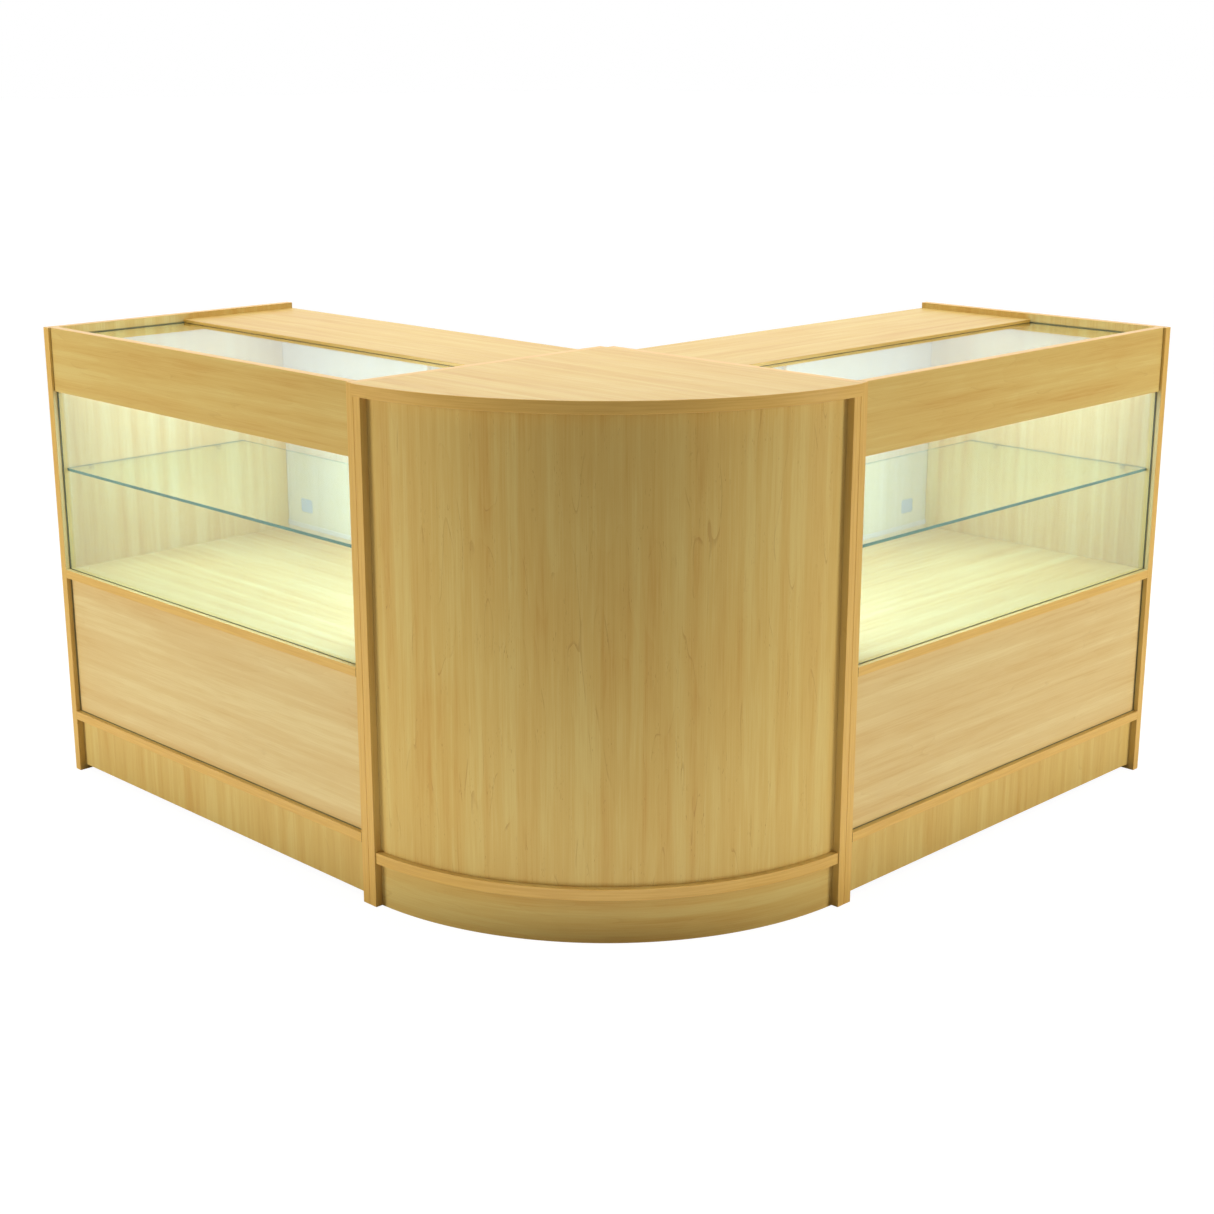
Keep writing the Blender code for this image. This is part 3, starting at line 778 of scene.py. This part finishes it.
def settle(source, side, name, finishes, node=None, body=CARCASS, grain=None, smooth=35.0):
    """Makes a finished piece: its place is in its mesh, and it rides on a CAD body."""
    if isinstance(source, bmesh.types.BMesh):
        mesh = bpy.data.meshes.new(name)
        source.to_mesh(mesh)
        source.free()
    else:
        mesh = source
        mesh.materials.clear()
    if grain:
        lay_grain(mesh, **grain)
    matrix = to_row(side)
    mesh.transform(matrix)
    if matrix.determinant() < 0:
        mesh.flip_normals()
    for finish in finishes:
        mesh.materials.append(finish_called(finish))
    mesh.shade_smooth()
    mesh.set_sharp_from_angle(angle=radians(smooth))
    piece = bpy.data.objects.new(f"{side}_{name}", mesh)
    bpy.context.scene.collection.objects.link(piece)
    piece.modifiers.new("Flat faces stay flat", "WEIGHTED_NORMAL").keep_sharp = True
    piece.data = evaluated_copy(piece)
    piece.modifiers.clear()
    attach(piece, body)
    if node:
        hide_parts(f"{side}_{node}")


# --------------------------------------------------------------------------- Geometry Nodes


def new_tree(name, sockets):
    """A Geometry Nodes tree with named inputs, each (name, kind, default); returns it and its inputs."""
    tree = bpy.data.node_groups.new(name, "GeometryNodeTree")
    tree.interface.new_socket("Geometry", in_out="OUTPUT", socket_type="NodeSocketGeometry")
    for label, kind, default in (*sockets, ("Finish", "Material", None)):
        socket = tree.interface.new_socket(label, in_out="INPUT", socket_type="NodeSocket" + kind)
        if default is not None:
            socket.default_value = default
    return tree, tree.nodes.new("NodeGroupInput").outputs


def close_tree(tree, geometry, given):
    """Ends a tree: instances made real, then the finish, then the output."""
    real = add_node(tree, "GeometryNodeRealizeInstances", {"Geometry": geometry}).outputs["Geometry"]
    inputs = {"Geometry": real, "Material": given["Finish"]}
    painted = add_node(tree, "GeometryNodeSetMaterial", inputs).outputs["Geometry"]
    add_node(tree, "NodeGroupOutput", {"Geometry": painted})
    return tree


def swept(tree, path, width, height, radius, facets):
    """A rectangle with rounded corners, swept along a curve."""
    section = add_node(
        tree, "GeometryNodeCurvePrimitiveQuadrilateral", {"Width": width, "Height": height}
    ).outputs["Curve"]
    inputs = {"Curve": section, "Radius": radius, "Limit Radius": True, "Count": facets}
    eased = add_node(tree, "GeometryNodeFilletCurve", inputs, mode="POLY").outputs["Curve"]
    inputs = {"Curve": path, "Profile Curve": eased, "Fill Caps": True}
    return add_node(tree, "GeometryNodeCurveToMesh", inputs).outputs["Mesh"]


def curved_sheet_tree():
    """Geometry Nodes: a sheet bent round a quarter circle, from its radius, thickness and levels."""
    sizes = (
        ("Outer radius", 0.5), ("Thickness", 0.01), ("Bottom", 0.0), ("Top", 0.5), ("Trim", 0.0),
        ("Edge radius", 0.0005),
    )
    sockets = [(name, "Float", default) for name, default in sizes] + [("Steps", "Int", 96)]
    tree, given = new_tree("Curved sheet", sockets)
    half = maths(tree, "MULTIPLY", given["Thickness"], 0.5)
    tall = maths(tree, "SUBTRACT", given["Top"], given["Bottom"])
    inputs = {
        "Resolution": given["Steps"],
        "Radius": maths(tree, "SUBTRACT", given["Outer radius"], half),
        "Start Angle": maths(tree, "MULTIPLY", given["Trim"], -1.0),
        "Sweep Angle": maths(tree, "MULTIPLY_ADD", given["Trim"], 2.0, -pi / 2),
    }
    arc = add_node(tree, "GeometryNodeCurveArc", inputs).outputs["Curve"]
    upright = add_node(tree, "GeometryNodeSetCurveNormal", {"Curve": arc}, mode="Z_UP").outputs["Curve"]
    centre = maths(tree, "MULTIPLY_ADD", tall, 0.5, given["Bottom"])
    lift = add_node(tree, "ShaderNodeCombineXYZ", {"Z": centre}).outputs["Vector"]
    lifted = add_node(tree, "GeometryNodeSetPosition", {"Geometry": upright, "Offset": lift})
    sheet = swept(
        tree, lifted.outputs["Geometry"], given["Thickness"], tall, given["Edge radius"], 3
    )
    return close_tree(tree, sheet, given)


def strip_tree():
    """Geometry Nodes: a soft square strip that follows the lines of a mesh."""
    sockets = [("Geometry", "Geometry", None), ("Width", "Float", 0.002), ("Edge radius", "Float", 0.0004)]
    tree, given = new_tree("Glazing strip", sockets)
    path = add_node(tree, "GeometryNodeMeshToCurve", {"Mesh": given["Geometry"]}).outputs["Curve"]
    strip = swept(tree, path, given["Width"], given["Width"], given["Edge radius"], 2)
    return close_tree(tree, strip, given)


def moved(tree, geometry, **inputs):
    return add_node(tree, "GeometryNodeTransform", {"Geometry": geometry, **inputs}).outputs["Geometry"]


def vector(tree, **parts):
    return add_node(tree, "ShaderNodeCombineXYZ", parts).outputs["Vector"]


def fittings_tree():
    """Geometry Nodes: a low domed head, with a cross recess if asked for, on every point of a mesh."""
    sockets = [("Geometry", "Geometry", None)]
    sockets += [(name, "Float", size) for name, size in (("Radius", 0.008), ("Rise", 0.001), ("Recess", 0.0))]
    tree, given = new_tree("Fitting heads", [*sockets, ("Facets", "Int", 24)])
    inputs = {"Segments": given["Facets"], "Rings": 12, "Radius": given["Radius"]}
    dome = add_node(tree, "GeometryNodeMeshUVSphere", inputs).outputs["Mesh"]
    flat = maths(tree, "DIVIDE", given["Rise"], given["Radius"])
    low = moved(tree, dome, Scale=vector(tree, X=1.0, Y=1.0, Z=flat))
    crossed = add_node(tree, "GeometryNodeMeshBoolean", {"Mesh 1": low})
    slot_wide = maths(tree, "MULTIPLY", given["Recess"], 0.30)
    slot_deep = maths(tree, "MULTIPLY", given["Rise"], 1.4)
    for first, second in ((given["Recess"], slot_wide), (slot_wide, given["Recess"])):
        extent = vector(tree, X=first, Y=second, Z=slot_deep)
        bar = add_node(tree, "GeometryNodeMeshCube", {"Size": extent}).outputs["Mesh"]
        lifted = moved(tree, bar, Translation=vector(tree, Z=given["Rise"]))
        tree.links.new(lifted, crossed.inputs["Mesh 2"])
    inputs = {0: given["Recess"], 1: 0.0}
    wanted = add_node(tree, "FunctionNodeCompare", inputs, operation="GREATER_THAN").outputs[0]
    inputs = {"Switch": wanted, "False": low, "True": crossed.outputs["Mesh"]}
    head = add_node(tree, "GeometryNodeSwitch", inputs, input_type="GEOMETRY").outputs["Output"]
    facing = add_node(
        tree, "GeometryNodeInputNamedAttribute", {"Name": "facing"}, data_type="FLOAT_VECTOR"
    ).outputs["Attribute"]
    aim = add_node(tree, "FunctionNodeAlignRotationToVector", {"Vector": facing}, axis="Z")
    inputs = {"Points": given["Geometry"], "Instance": head, "Rotation": aim.outputs["Rotation"]}
    heads = add_node(tree, "GeometryNodeInstanceOnPoints", inputs).outputs["Instances"]
    return close_tree(tree, heads, given)


def grow(tree, values, source=None):
    """The mesh that a Geometry Nodes tree makes from named values."""
    obj = bpy.data.objects.new("base", source or bpy.data.meshes.new("base"))
    bpy.context.scene.collection.objects.link(obj)
    modifier = obj.modifiers.new("Grow", "NODES")
    modifier.node_group = tree
    sockets = {item.name: item.identifier for item in tree.interface.items_tree if item.in_out == "INPUT"}
    for key, value in values.items():
        modifier[sockets[key]] = value
    mesh = evaluated_copy(obj)
    bpy.data.objects.remove(obj)
    return mesh


# --------------------------------------------------------------------------- boards


class COUNTER_OT_boards(bpy.types.Operator):
    """Foiled boards of both counters, with taped edges and the grooves that hold the panes"""

    bl_idname = "counter.boards"
    bl_label = "Boards"

    def execute(self, context):
        s = settings("boards")
        spare = s.groove_spare
        for counter, side in enumerate(SIDES):
            for number, (node, name, thin, along, raw, panes) in enumerate(BOARDS):
                shape = board_shape(ranges(side, node), thin, s.edge_radius, raw)
                cutters = [box_shape(grown(ranges(side, pane), 3 * spare, spare, spare)) for pane in panes]
                if node.endswith("end_panel"):
                    cutters += self.stud_holes(side, node.split("_")[0])
                if cutters:
                    shape = carve(shape, cutters)
                grain = {"along": along, "thin": thin, "seed": number + 20 * counter + 1}
                settle(shape, side, name, FOILED, node, grain=grain)
            node = "lower_front_panel"
            sheet = board_shape(ranges(side, node), ACROSS, s.sheet_radius)
            grain = {"along": ALONG, "thin": ACROSS, "seed": 15 + 20 * counter}
            settle(sheet, side, "lower_sheet", ("sheet_foil", "tape"), node, grain=grain)
        return {"FINISHED"}

    def stud_holes(self, side, end):
        """Cutters for the pins of the shelf studs in one end board."""
        holes = []
        for stud in STUDS:
            if stud.startswith(end):
                spans = ranges(side, stud + "_shelf_stud")
                pin = STUD_HOLE_SHARE * half_length(spans[UPWARD])
                reach = half_length(spans[ALONG]) + settings("hardware").fit
                centre = [middle(span) for span in spans]
                holes.append(turned_shape([(pin, -reach), (pin, reach)], centre, ALONG))
        return holes


# --------------------------------------------------------------------------- corner unit


def sector_shape(node, radius, edge):
    """A quarter-round board from the corner outwards, with its rim rounded."""
    spans = corner_spans(node)
    inset, levels = spans[0][0], spans[2]
    steps = settings("boards").arc_steps
    trim = inset / radius
    outline = [(inset, -inset)]
    for step in range(steps + 1):
        angle = -trim - (pi / 2 - 2 * trim) * step / steps
        outline.append((radius * cos(angle), radius * sin(angle)))
    shape = skin([[Vector((x, y, z)) for x, y in outline] for z in levels])

    def on_rim(rim_edge):
        level = abs(rim_edge.verts[0].co.z - rim_edge.verts[1].co.z) < 1e-6
        return level and all(v.co.xy.length > radius - 1e-4 for v in rim_edge.verts)

    ease(shape, [e for e in shape.edges if on_rim(e)], edge)
    for face in shape.faces:
        butted = face.calc_center_median().xy.length < radius - 0.002
        face.material_index = FACE if abs(face.normal.z) > SQUARE else (CORE if butted else TAPE)
    return shape


class COUNTER_OT_corner(bpy.types.Operator):
    """The corner unit: quarter-round top and base rail, side boards, bent front sheet and plinth"""

    bl_idname = "counter.corner"
    bl_label = "Corner unit"

    def execute(self, context):
        s = settings("boards")
        for number, (hand, thin) in enumerate((("left", ALONG), ("right", ACROSS))):
            node = hand + "_side_panel"
            shape = board_shape(corner_spans(node), thin, s.edge_radius)
            grain = {"along": UPWARD, "thin": thin, "seed": 41 + number}
            settle(shape, "corner", hand + "_side_board", FOILED, node, grain=grain)
        for number, (node, name) in enumerate((("top", "top_board"), ("base_board", "base_rail_board"))):
            radius = corner_spans(node)[0][1]
            shape = sector_shape(node, radius, 1.3 * s.edge_radius)
            grain = {"along": ALONG, "thin": UPWARD, "seed": 45 + number, "radius": radius, "wrapped": (TAPE,)}
            settle(shape, "corner", name, FOILED, node, grain=grain)
        tree = curved_sheet_tree()
        for number, (node, name, along, thickness, finish) in enumerate(BENT_PIECES):
            spans = corner_spans(node)
            # The outer radius of a bent piece is its farthest vertex from the corner
            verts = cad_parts["corner_" + node].data.vertices
            radius = max((v.co - CORNER).xy.length for v in verts)
            values = {
                "Outer radius": radius,
                "Thickness": thickness,
                "Bottom": spans[2][0],
                "Top": spans[2][1],
                "Trim": spans[0][0] / (radius - thickness),
                "Edge radius": s.sheet_radius,
                "Steps": s.arc_steps,
                "Finish": finish_called(finish),
            }
            grain = {"along": along, "thin": ACROSS, "seed": 50 + number, "radius": radius, "wrapped": (FACE,)}
            settle(grow(tree, values), "corner", name, (finish,), node, grain=grain)
        return {"FINISHED"}


# --------------------------------------------------------------------------- glass


class COUNTER_OT_glass(bpy.types.Operator):
    """Front panes, top panes and glass shelves, with ground arrises, polished edges and glazing strips"""

    bl_idname = "counter.glass"
    bl_label = "Glass"

    def execute(self, context):
        for side in SIDES:
            for node, name, thin in PANES:
                shape = box_shape(ranges(side, node))
                ease(shape, shape.edges, settings("glass").arris, 1)
                for face in shape.faces:
                    face.material_index = FACE if abs(face.normal[thin]) > SQUARE else TAPE
                settle(shape, side, name, ("glass", "glass_edge"), node, smooth=20.0)
        tree = strip_tree()
        for side in SIDES:
            self.strips(tree, side)
        return {"FINISHED"}

    def strips(self, tree, side):
        """Strips at the foot and sides of the front panes, and on the ends of the top pane."""
        s = settings("glass")
        half = s.strip / 2
        deck, base, fascia = (ranges(side, node) for node in ("display_deck", "base_board", "fascia"))
        near, far = deck[ALONG][0] + half, deck[ALONG][1] - half
        points, lines = [], []
        for pane, foot, head in (
            ("front_glass", deck[UPWARD][1] + half, fascia[UPWARD][0]),
            ("lower_front_panel", base[UPWARD][1] + half, deck[UPWARD][0]),
        ):
            front = ranges(side, pane)[ACROSS][1] + half
            lines += [(len(points) + step, len(points) + step + 1) for step in range(3)]
            corners = ((near, head), (near, foot), (far, foot), (far, head))
            points += [(along, front, up) for along, up in corners]
        level = ranges(side, "top_glass")[UPWARD][1] + half
        for end in (near, far):
            lines.append((len(points), len(points) + 1))
            points += [(end, ranges(side, "worktop")[ACROSS][1], level), (end, fascia[ACROSS][0], level)]
        path = bpy.data.meshes.new("strip_path")
        path.from_pydata(points, lines, [])
        # Painted shade: the dark strip stands partly for the shaded groove line along each pane
        values = {"Width": s.strip, "Edge radius": s.strip_ease, "Finish": finish_called("strip")}
        settle(grow(tree, values, path), side, "glazing_strip", ("strip",), smooth=50.0)


# --------------------------------------------------------------------------- doors


class COUNTER_OT_doors(bpy.types.Operator):
    """Sliding doors with finger pulls, in twin-channel tracks"""

    bl_idname = "counter.doors"
    bl_label = "Doors and tracks"

    def execute(self, context):
        for side in SIDES:
            for node in ("top_door_track", "bottom_door_track"):
                self.track(side, node)
            for number, leaf in enumerate(("near", "far")):
                self.door(side, leaf, 60 + number + 5 * SIDES.index(side))
        return {"FINISHED"}

    def track(self, side, node):
        """An extruded track: a base and three ribs, with rounded rib tips."""
        s = settings("hardware")
        along, (rear, front), (bottom, top) = ranges(side, node)
        root, tip = (top, bottom) if node.startswith("top") else (bottom, top)
        floor = root + (s.track_base if tip > root else -s.track_base)
        channel = (front - rear - 3 * s.track_wall) / 2
        outline, radii = [], []
        edge = rear
        for _ in range(3):
            wall = edge + s.track_wall
            outline += [(edge, floor), (edge, tip), (wall, tip), (wall, floor)]
            radii += [0.0, s.rib_tip, s.rib_tip, 0.0]
            edge += s.track_wall + channel
        # The outer ribs run straight down to the root
        outline[0], outline[-1] = (rear, root), (front, root)
        path = softened(outline, radii, closed=True)
        shape = skin([[Vector((end, across, up)) for across, up in path] for end in along])
        settle(shape, side, node.replace("_door", ""), ("track",), node)

    def door(self, side, leaf, seed):
        """A door with the openings for its finger pull and the lock."""
        s = settings("hardware")
        spans = ranges(side, leaf + "_door")
        pull = ranges(side, leaf + "_door_finger_pull")
        barrel = ranges(side, "lock_barrel")
        centre = [middle(pull[ALONG]), 0.0, middle(pull[UPWARD])]
        half = [half_length(pull[axis]) - s.pull_overlap for axis in (ALONG, UPWARD)]
        shape = board_shape(spans, ACROSS, settings("boards").sheet_radius)
        wide = [h + s.fit for h in half]
        through = (spans[ACROSS][0] - 0.01, spans[ACROSS][1] + 0.01)
        opening = skin([rounded_rectangle(centre, wide, s.pull_corner, depth) for depth in through])
        lock_centre = [middle(barrel[ALONG]), middle(spans[ACROSS]), middle(barrel[UPWARD])]
        radius = LOCK_HOLES[leaf]
        hole = turned_shape([(radius, -0.02), (radius, 0.02)], lock_centre, ACROSS)
        settle(
            carve(shape, [opening, hole]),
            side,
            leaf + "_door_board",
            ("door_foil", "tape", "core"),
            leaf + "_door",
            f"{side}_{leaf}_leaf",
            {"along": UPWARD, "thin": ACROSS, "seed": seed},
        )
        self.finger_pull(side, leaf, centre, half, pull[ACROSS])

    def finger_pull(self, side, leaf, centre, half, depths):
        """A flanged cup: its back is level with the door's display face."""
        s = settings("hardware")
        front, back = depths
        under, floor = front + s.pull_flange, back - s.pull_wall
        wide, mouth = [h + s.pull_overlap for h in half], [h - s.pull_wall for h in half]
        edge = 0.0005
        # Rings from the back round the flange and down into the cup: size, growth, depth
        rings = (
            (half, -edge, back),
            (half, 0.0, back - edge),
            (half, 0.0, under),
            (wide, -edge / 2, under),
            (wide, 0.0, under - edge),
            (wide, 0.0, front + edge),
            (wide, -edge, front),
            (mouth, edge, front),
            (mouth, 0.0, front + edge),
            (mouth, -0.0006, floor - 0.0015),
            (mouth, -0.0010, floor - 0.0005),
            (mouth, -0.0022, floor),
        )
        shape = skin(
            [
                rounded_rectangle(centre, [h + more for h in halves], s.pull_corner + more, depth)
                for halves, more, depth in rings
            ]
        )
        node, body = leaf + "_door_finger_pull", f"{side}_{leaf}_leaf"
        settle(shape, side, leaf + "_pull_cup", ("pull",), node, body)


# --------------------------------------------------------------------------- locks


class COUNTER_OT_locks(bpy.types.Operator):
    """Push locks on the overlap of the doors: housing, sprung barrel and key plug"""

    bl_idname = "counter.locks"
    bl_label = "Push locks"

    def execute(self, context):
        for side in SIDES:
            spans = ranges(side, "lock_barrel")
            centre = [middle(spans[ALONG]), ranges(side, "near_door")[ACROSS][0], middle(spans[UPWARD])]
            keyway = box_shape([(at + low, at + high) for at, (low, high) in zip(centre, KEYWAY)])
            for node, name, body, profile, radius, cutter in (
                ("lock_housing", "housing_ring", "near_leaf", HOUSING, 0.0008, None),
                ("lock_barrel", "barrel", "barrel", BARREL, 0.0007, None),
                ("lock_plug", "key_plug", "plug", KEY_PLUG, 0.0004, keyway),
            ):
                closed = profile is HOUSING
                shape = turned_shape(softened(profile, radius, 4, closed), centre, ACROSS, closed)
                if cutter:
                    shape = carve(shape, [cutter])
                    for face in shape.faces:
                        face.material_index = FACE
                settle(shape, side, name, ("nickel",), node, f"{side}_{body}", smooth=50.0)
        return {"FINISHED"}


# --------------------------------------------------------------------------- fittings


def spots_mesh(spots, facing):
    """A mesh of loose points, with the direction that their heads face."""
    mesh = bpy.data.meshes.new("spots")
    mesh.from_pydata(spots, [], [])
    stored = mesh.attributes.new("facing", "FLOAT_VECTOR", "POINT")
    stored.data.foreach_set("vector", [value for _ in spots for value in facing])
    return mesh


class COUNTER_OT_fittings(bpy.types.Operator):
    """Shelf studs, cam cover caps, joining bolts and track screws"""

    bl_idname = "counter.fittings"
    bl_label = "Fittings"

    def execute(self, context):
        s = settings("hardware")
        tree = fittings_tree()
        for side in SIDES:
            for stud in STUDS:
                self.stud(side, stud)
            for name, spots, facing, radius, rise, recess, finish, slot in (
                (
                    "cover_caps", self.caps(side), (0, 0, -1),
                    s.cap_radius, s.cap_rise, 0.0, "cap", "maple_foil",
                ),
                (
                    "joining_bolts", self.bolts(side), (1, 0, 0),
                    s.bolt_radius, s.bolt_rise, 0.55, "nickel", "nickel",
                ),
                (
                    "track_screws", self.screws(side), (0, 0, 1),
                    s.screw_radius, s.screw_rise, 0.9, "nickel", "nickel",
                ),
            ):
                values = {
                    "Radius": radius,
                    "Rise": rise,
                    "Recess": recess * radius,
                    "Facets": 32,
                    "Finish": finish_called(finish),
                }
                mesh = grow(tree, values, spots_mesh(spots, facing))
                settle(mesh, side, name, (finish,), smooth=40.0)
        return {"FINISHED"}

    def caps(self, side):
        """Cover caps under the display deck and the storage shelf."""
        return [
            (along, across, spans[UPWARD][0])
            for spans, depths in (
                (ranges(side, "display_deck"), DECK_CAPS),
                (ranges(side, "storage_shelf"), SHELF_CAPS),
            )
            for along in (spans[ALONG][0] + CAP_INSET, spans[ALONG][1] - CAP_INSET)
            for across in depths
        ]

    def bolts(self, side):
        """Bolts that join the counter to the corner unit, in the storage space."""
        deck, base = ranges(side, "display_deck"), ranges(side, "base_board")
        face = ranges(side, "inner_end_panel")[ALONG][1]
        levels = (base[UPWARD][1] + BOLT_OVER_BASE, deck[UPWARD][0] - BOLT_UNDER_DECK)
        return [(face, across, up) for across in BOLTS_ACROSS for up in levels]

    def screws(self, side):
        """Screws in the channels of the bottom track, in each channel by turns."""
        s = settings("hardware")
        (near, far), (rear, front), (bottom, _) = ranges(side, "bottom_door_track")
        channel = (front - rear - 3 * s.track_wall) / 2
        first = rear + s.track_wall + channel / 2
        gap = (far - near - 2 * SCREW_INSET) / (SCREWS - 1)
        depths = (first, first + channel + s.track_wall)
        return [
            (near + SCREW_INSET + step * gap, depths[step % 2], bottom + s.track_base)
            for step in range(SCREWS)
        ]

    def stud(self, side, stud):
        """A shelf stud: a pin in the end board and a head with an eased rim under the glass."""
        node = stud + "_shelf_stud"
        spans = ranges(side, node)
        head, long = half_length(spans[UPWARD]), half_length(spans[ALONG])
        pin = head * STUD_PIN_SHARE
        pin_end = -long if stud.startswith("inner") else long
        shoulder = pin_end + (STUD_PIN_LENGTH if pin_end < 0 else -STUD_PIN_LENGTH)
        profile = [
            (NEAR_AXIS, pin_end), (pin, pin_end), (pin, shoulder),
            (head, shoulder), (head, -pin_end), (NEAR_AXIS, -pin_end),
        ]
        shape = turned_shape(softened(profile, 0.0007, 4), [middle(span) for span in spans], ALONG)
        settle(shape, side, stud + "_stud", ("nickel",), node, smooth=50.0)


# --------------------------------------------------------------------------- stage


class COUNTER_OT_stage(bpy.types.Operator):
    """White floor, soft studio lights and the camera"""

    bl_idname = "counter.stage"
    bl_label = "Stage"

    def execute(self, context):
        s = settings("stage")
        scene = context.scene
        scene.view_settings.view_transform = "Standard"
        shape = bmesh.new()
        bmesh.ops.create_grid(shape, x_segments=8, y_segments=8, size=60.0)
        mesh = bpy.data.meshes.new("studio_floor")
        shape.to_mesh(mesh)
        shape.free()
        mesh.materials.append(finish_called("floor"))
        floor = bpy.data.objects.new("studio_floor", mesh)
        scene.collection.objects.link(floor)
        self.sky(scene, s)
        for name, place, extent, strength in SOFTBOXES:
            self.softbox(name, place, LAMPS_AIM, extent, getattr(s, strength))
        for name, place, turn, extent, strength in REFLECTORS:
            light = self.softbox(name, (*place, 0.01), Vector((*place, 1.0)), extent, getattr(s, strength))
            light.rotation_euler = (pi, 0.0, turn)
        for side in SIDES:
            self.case_lights(side, s)
        data = bpy.data.cameras.new("camera")
        data.lens = s.lens
        camera = bpy.data.objects.new("camera", data)
        diagonal = s.distance * HALF_CORNER
        camera.location = CORNER + Vector((diagonal, -diagonal, s.height))
        camera.rotation_euler = (pi / 2 - s.tilt, 0.0, pi / 4)
        scene.collection.objects.link(camera)
        scene.camera = camera
        return {"FINISHED"}

    def sky(self, scene, s):
        """White where it is seen, softer in reflections, and dim as a source of light."""
        world = bpy.data.worlds.new("studio")
        scene.world = world
        world.use_nodes = True
        tree = world.node_tree
        path = add_node(tree, "ShaderNodeLightPath").outputs
        sharp = maths(tree, "MULTIPLY", path["Is Glossy Ray"], path["Is Singular Ray"])
        satin = maths(tree, "SUBTRACT", path["Is Glossy Ray"], sharp)
        bright = maths(tree, "MAXIMUM", path["Is Camera Ray"], path["Is Transmission Ray"])
        for kind, strength in ((satin, s.sheen), (sharp, s.mirror)):
            bright = maths(tree, "MAXIMUM", bright, maths(tree, "MULTIPLY", kind, strength))
        bright = maths(tree, "MAXIMUM", bright, s.sky)
        fill_in(tree, tree.nodes["Background"], {"Color": (1.0, 1.0, 1.0, 1.0), "Strength": bright})

    def softbox(self, name, place, target, extent, energy):
        data = bpy.data.lights.new(name, "AREA")
        data.shape = "RECTANGLE"
        data.size, data.size_y = extent
        data.energy = energy
        light = bpy.data.objects.new(name, data)
        light.location = place
        light.rotation_euler = (target - Vector(place)).to_track_quat("-Z", "Y").to_euler()
        # The studio's white is mirrored evenly, so a lamp leaves no hot spot in foil or glass
        light.visible_glossy = light.visible_transmission = light.visible_camera = False
        bpy.context.scene.collection.objects.link(light)
        return light

    def case_lights(self, side, s):
        """Soft cool lamps in a glass case: one over it, under the worktop, and one at its inner end."""
        deck, worktop, fascia = (ranges(side, node) for node in ("display_deck", "worktop", "fascia"))
        door = ranges(side, "far_door")[ACROSS][1]
        matrix = to_row(side)

        def lamp(name, place, toward, extent, energy):
            place, toward = matrix @ Vector(place), matrix.to_3x3() @ Vector(toward)
            light = self.softbox(f"{side}_{name}", place, place + toward, extent, energy)
            light.data.color = s.case_tone
            return light

        near, far = door + 0.07, fascia[ACROSS][0] - 0.01
        place = (middle(worktop[ALONG]) + 0.10, (near + far) / 2, worktop[UPWARD][0] - 0.004)
        light = lamp("case_light", place, (0, 0, -1), (0.72, far - near), s.case_power)
        light.rotation_euler = (0.0, 0.0, pi if side == "left" else pi / 2)
        near, far = door + 0.05, deck[ACROSS][1] - 0.05
        low, high = deck[UPWARD][1] + 0.12, worktop[UPWARD][0] - 0.02
        place = (deck[ALONG][0] + 0.004, (near + far) / 2, (low + high) / 2)
        lamp("case_fill", place, (1, 0, 0), (far - near, high - low), s.fill_power)


# --------------------------------------------------------------------------- panel


class COUNTER_PT_panel(bpy.types.Panel):
    """Lists the counter's settings and the steps that build it"""

    bl_idname = "COUNTER_PT_panel"
    bl_label = "Checkout Counter"
    bl_space_type = "VIEW_3D"
    bl_region_type = "UI"
    bl_category = "Counter"

    def draw(self, context):
        for step in STEPS:
            self.layout.operator(step.bl_idname)
        for name, group in SETTINGS.items():
            box = self.layout.box()
            for prop in group.__annotations__:
                box.prop(getattr(context.scene, name), prop)


STEPS = (
    COUNTER_OT_stage,
    COUNTER_OT_boards,
    COUNTER_OT_corner,
    COUNTER_OT_glass,
    COUNTER_OT_doors,
    COUNTER_OT_locks,
    COUNTER_OT_fittings,
)


def register():
    for kind in (*SETTINGS.values(), *STEPS, COUNTER_PT_panel):
        bpy.utils.register_class(kind)
    for name, group in SETTINGS.items():
        setattr(bpy.types.Scene, name, PointerProperty(type=group))


def unregister():
    for name in SETTINGS:
        delattr(bpy.types.Scene, name)
    for kind in reversed((*SETTINGS.values(), *STEPS, COUNTER_PT_panel)):
        bpy.utils.unregister_class(kind)


def main():
    register()
    for step in STEPS:
        group, name = step.bl_idname.split(".")
        getattr(getattr(bpy.ops, group), name)()


if __name__ == "__main__":
    main()
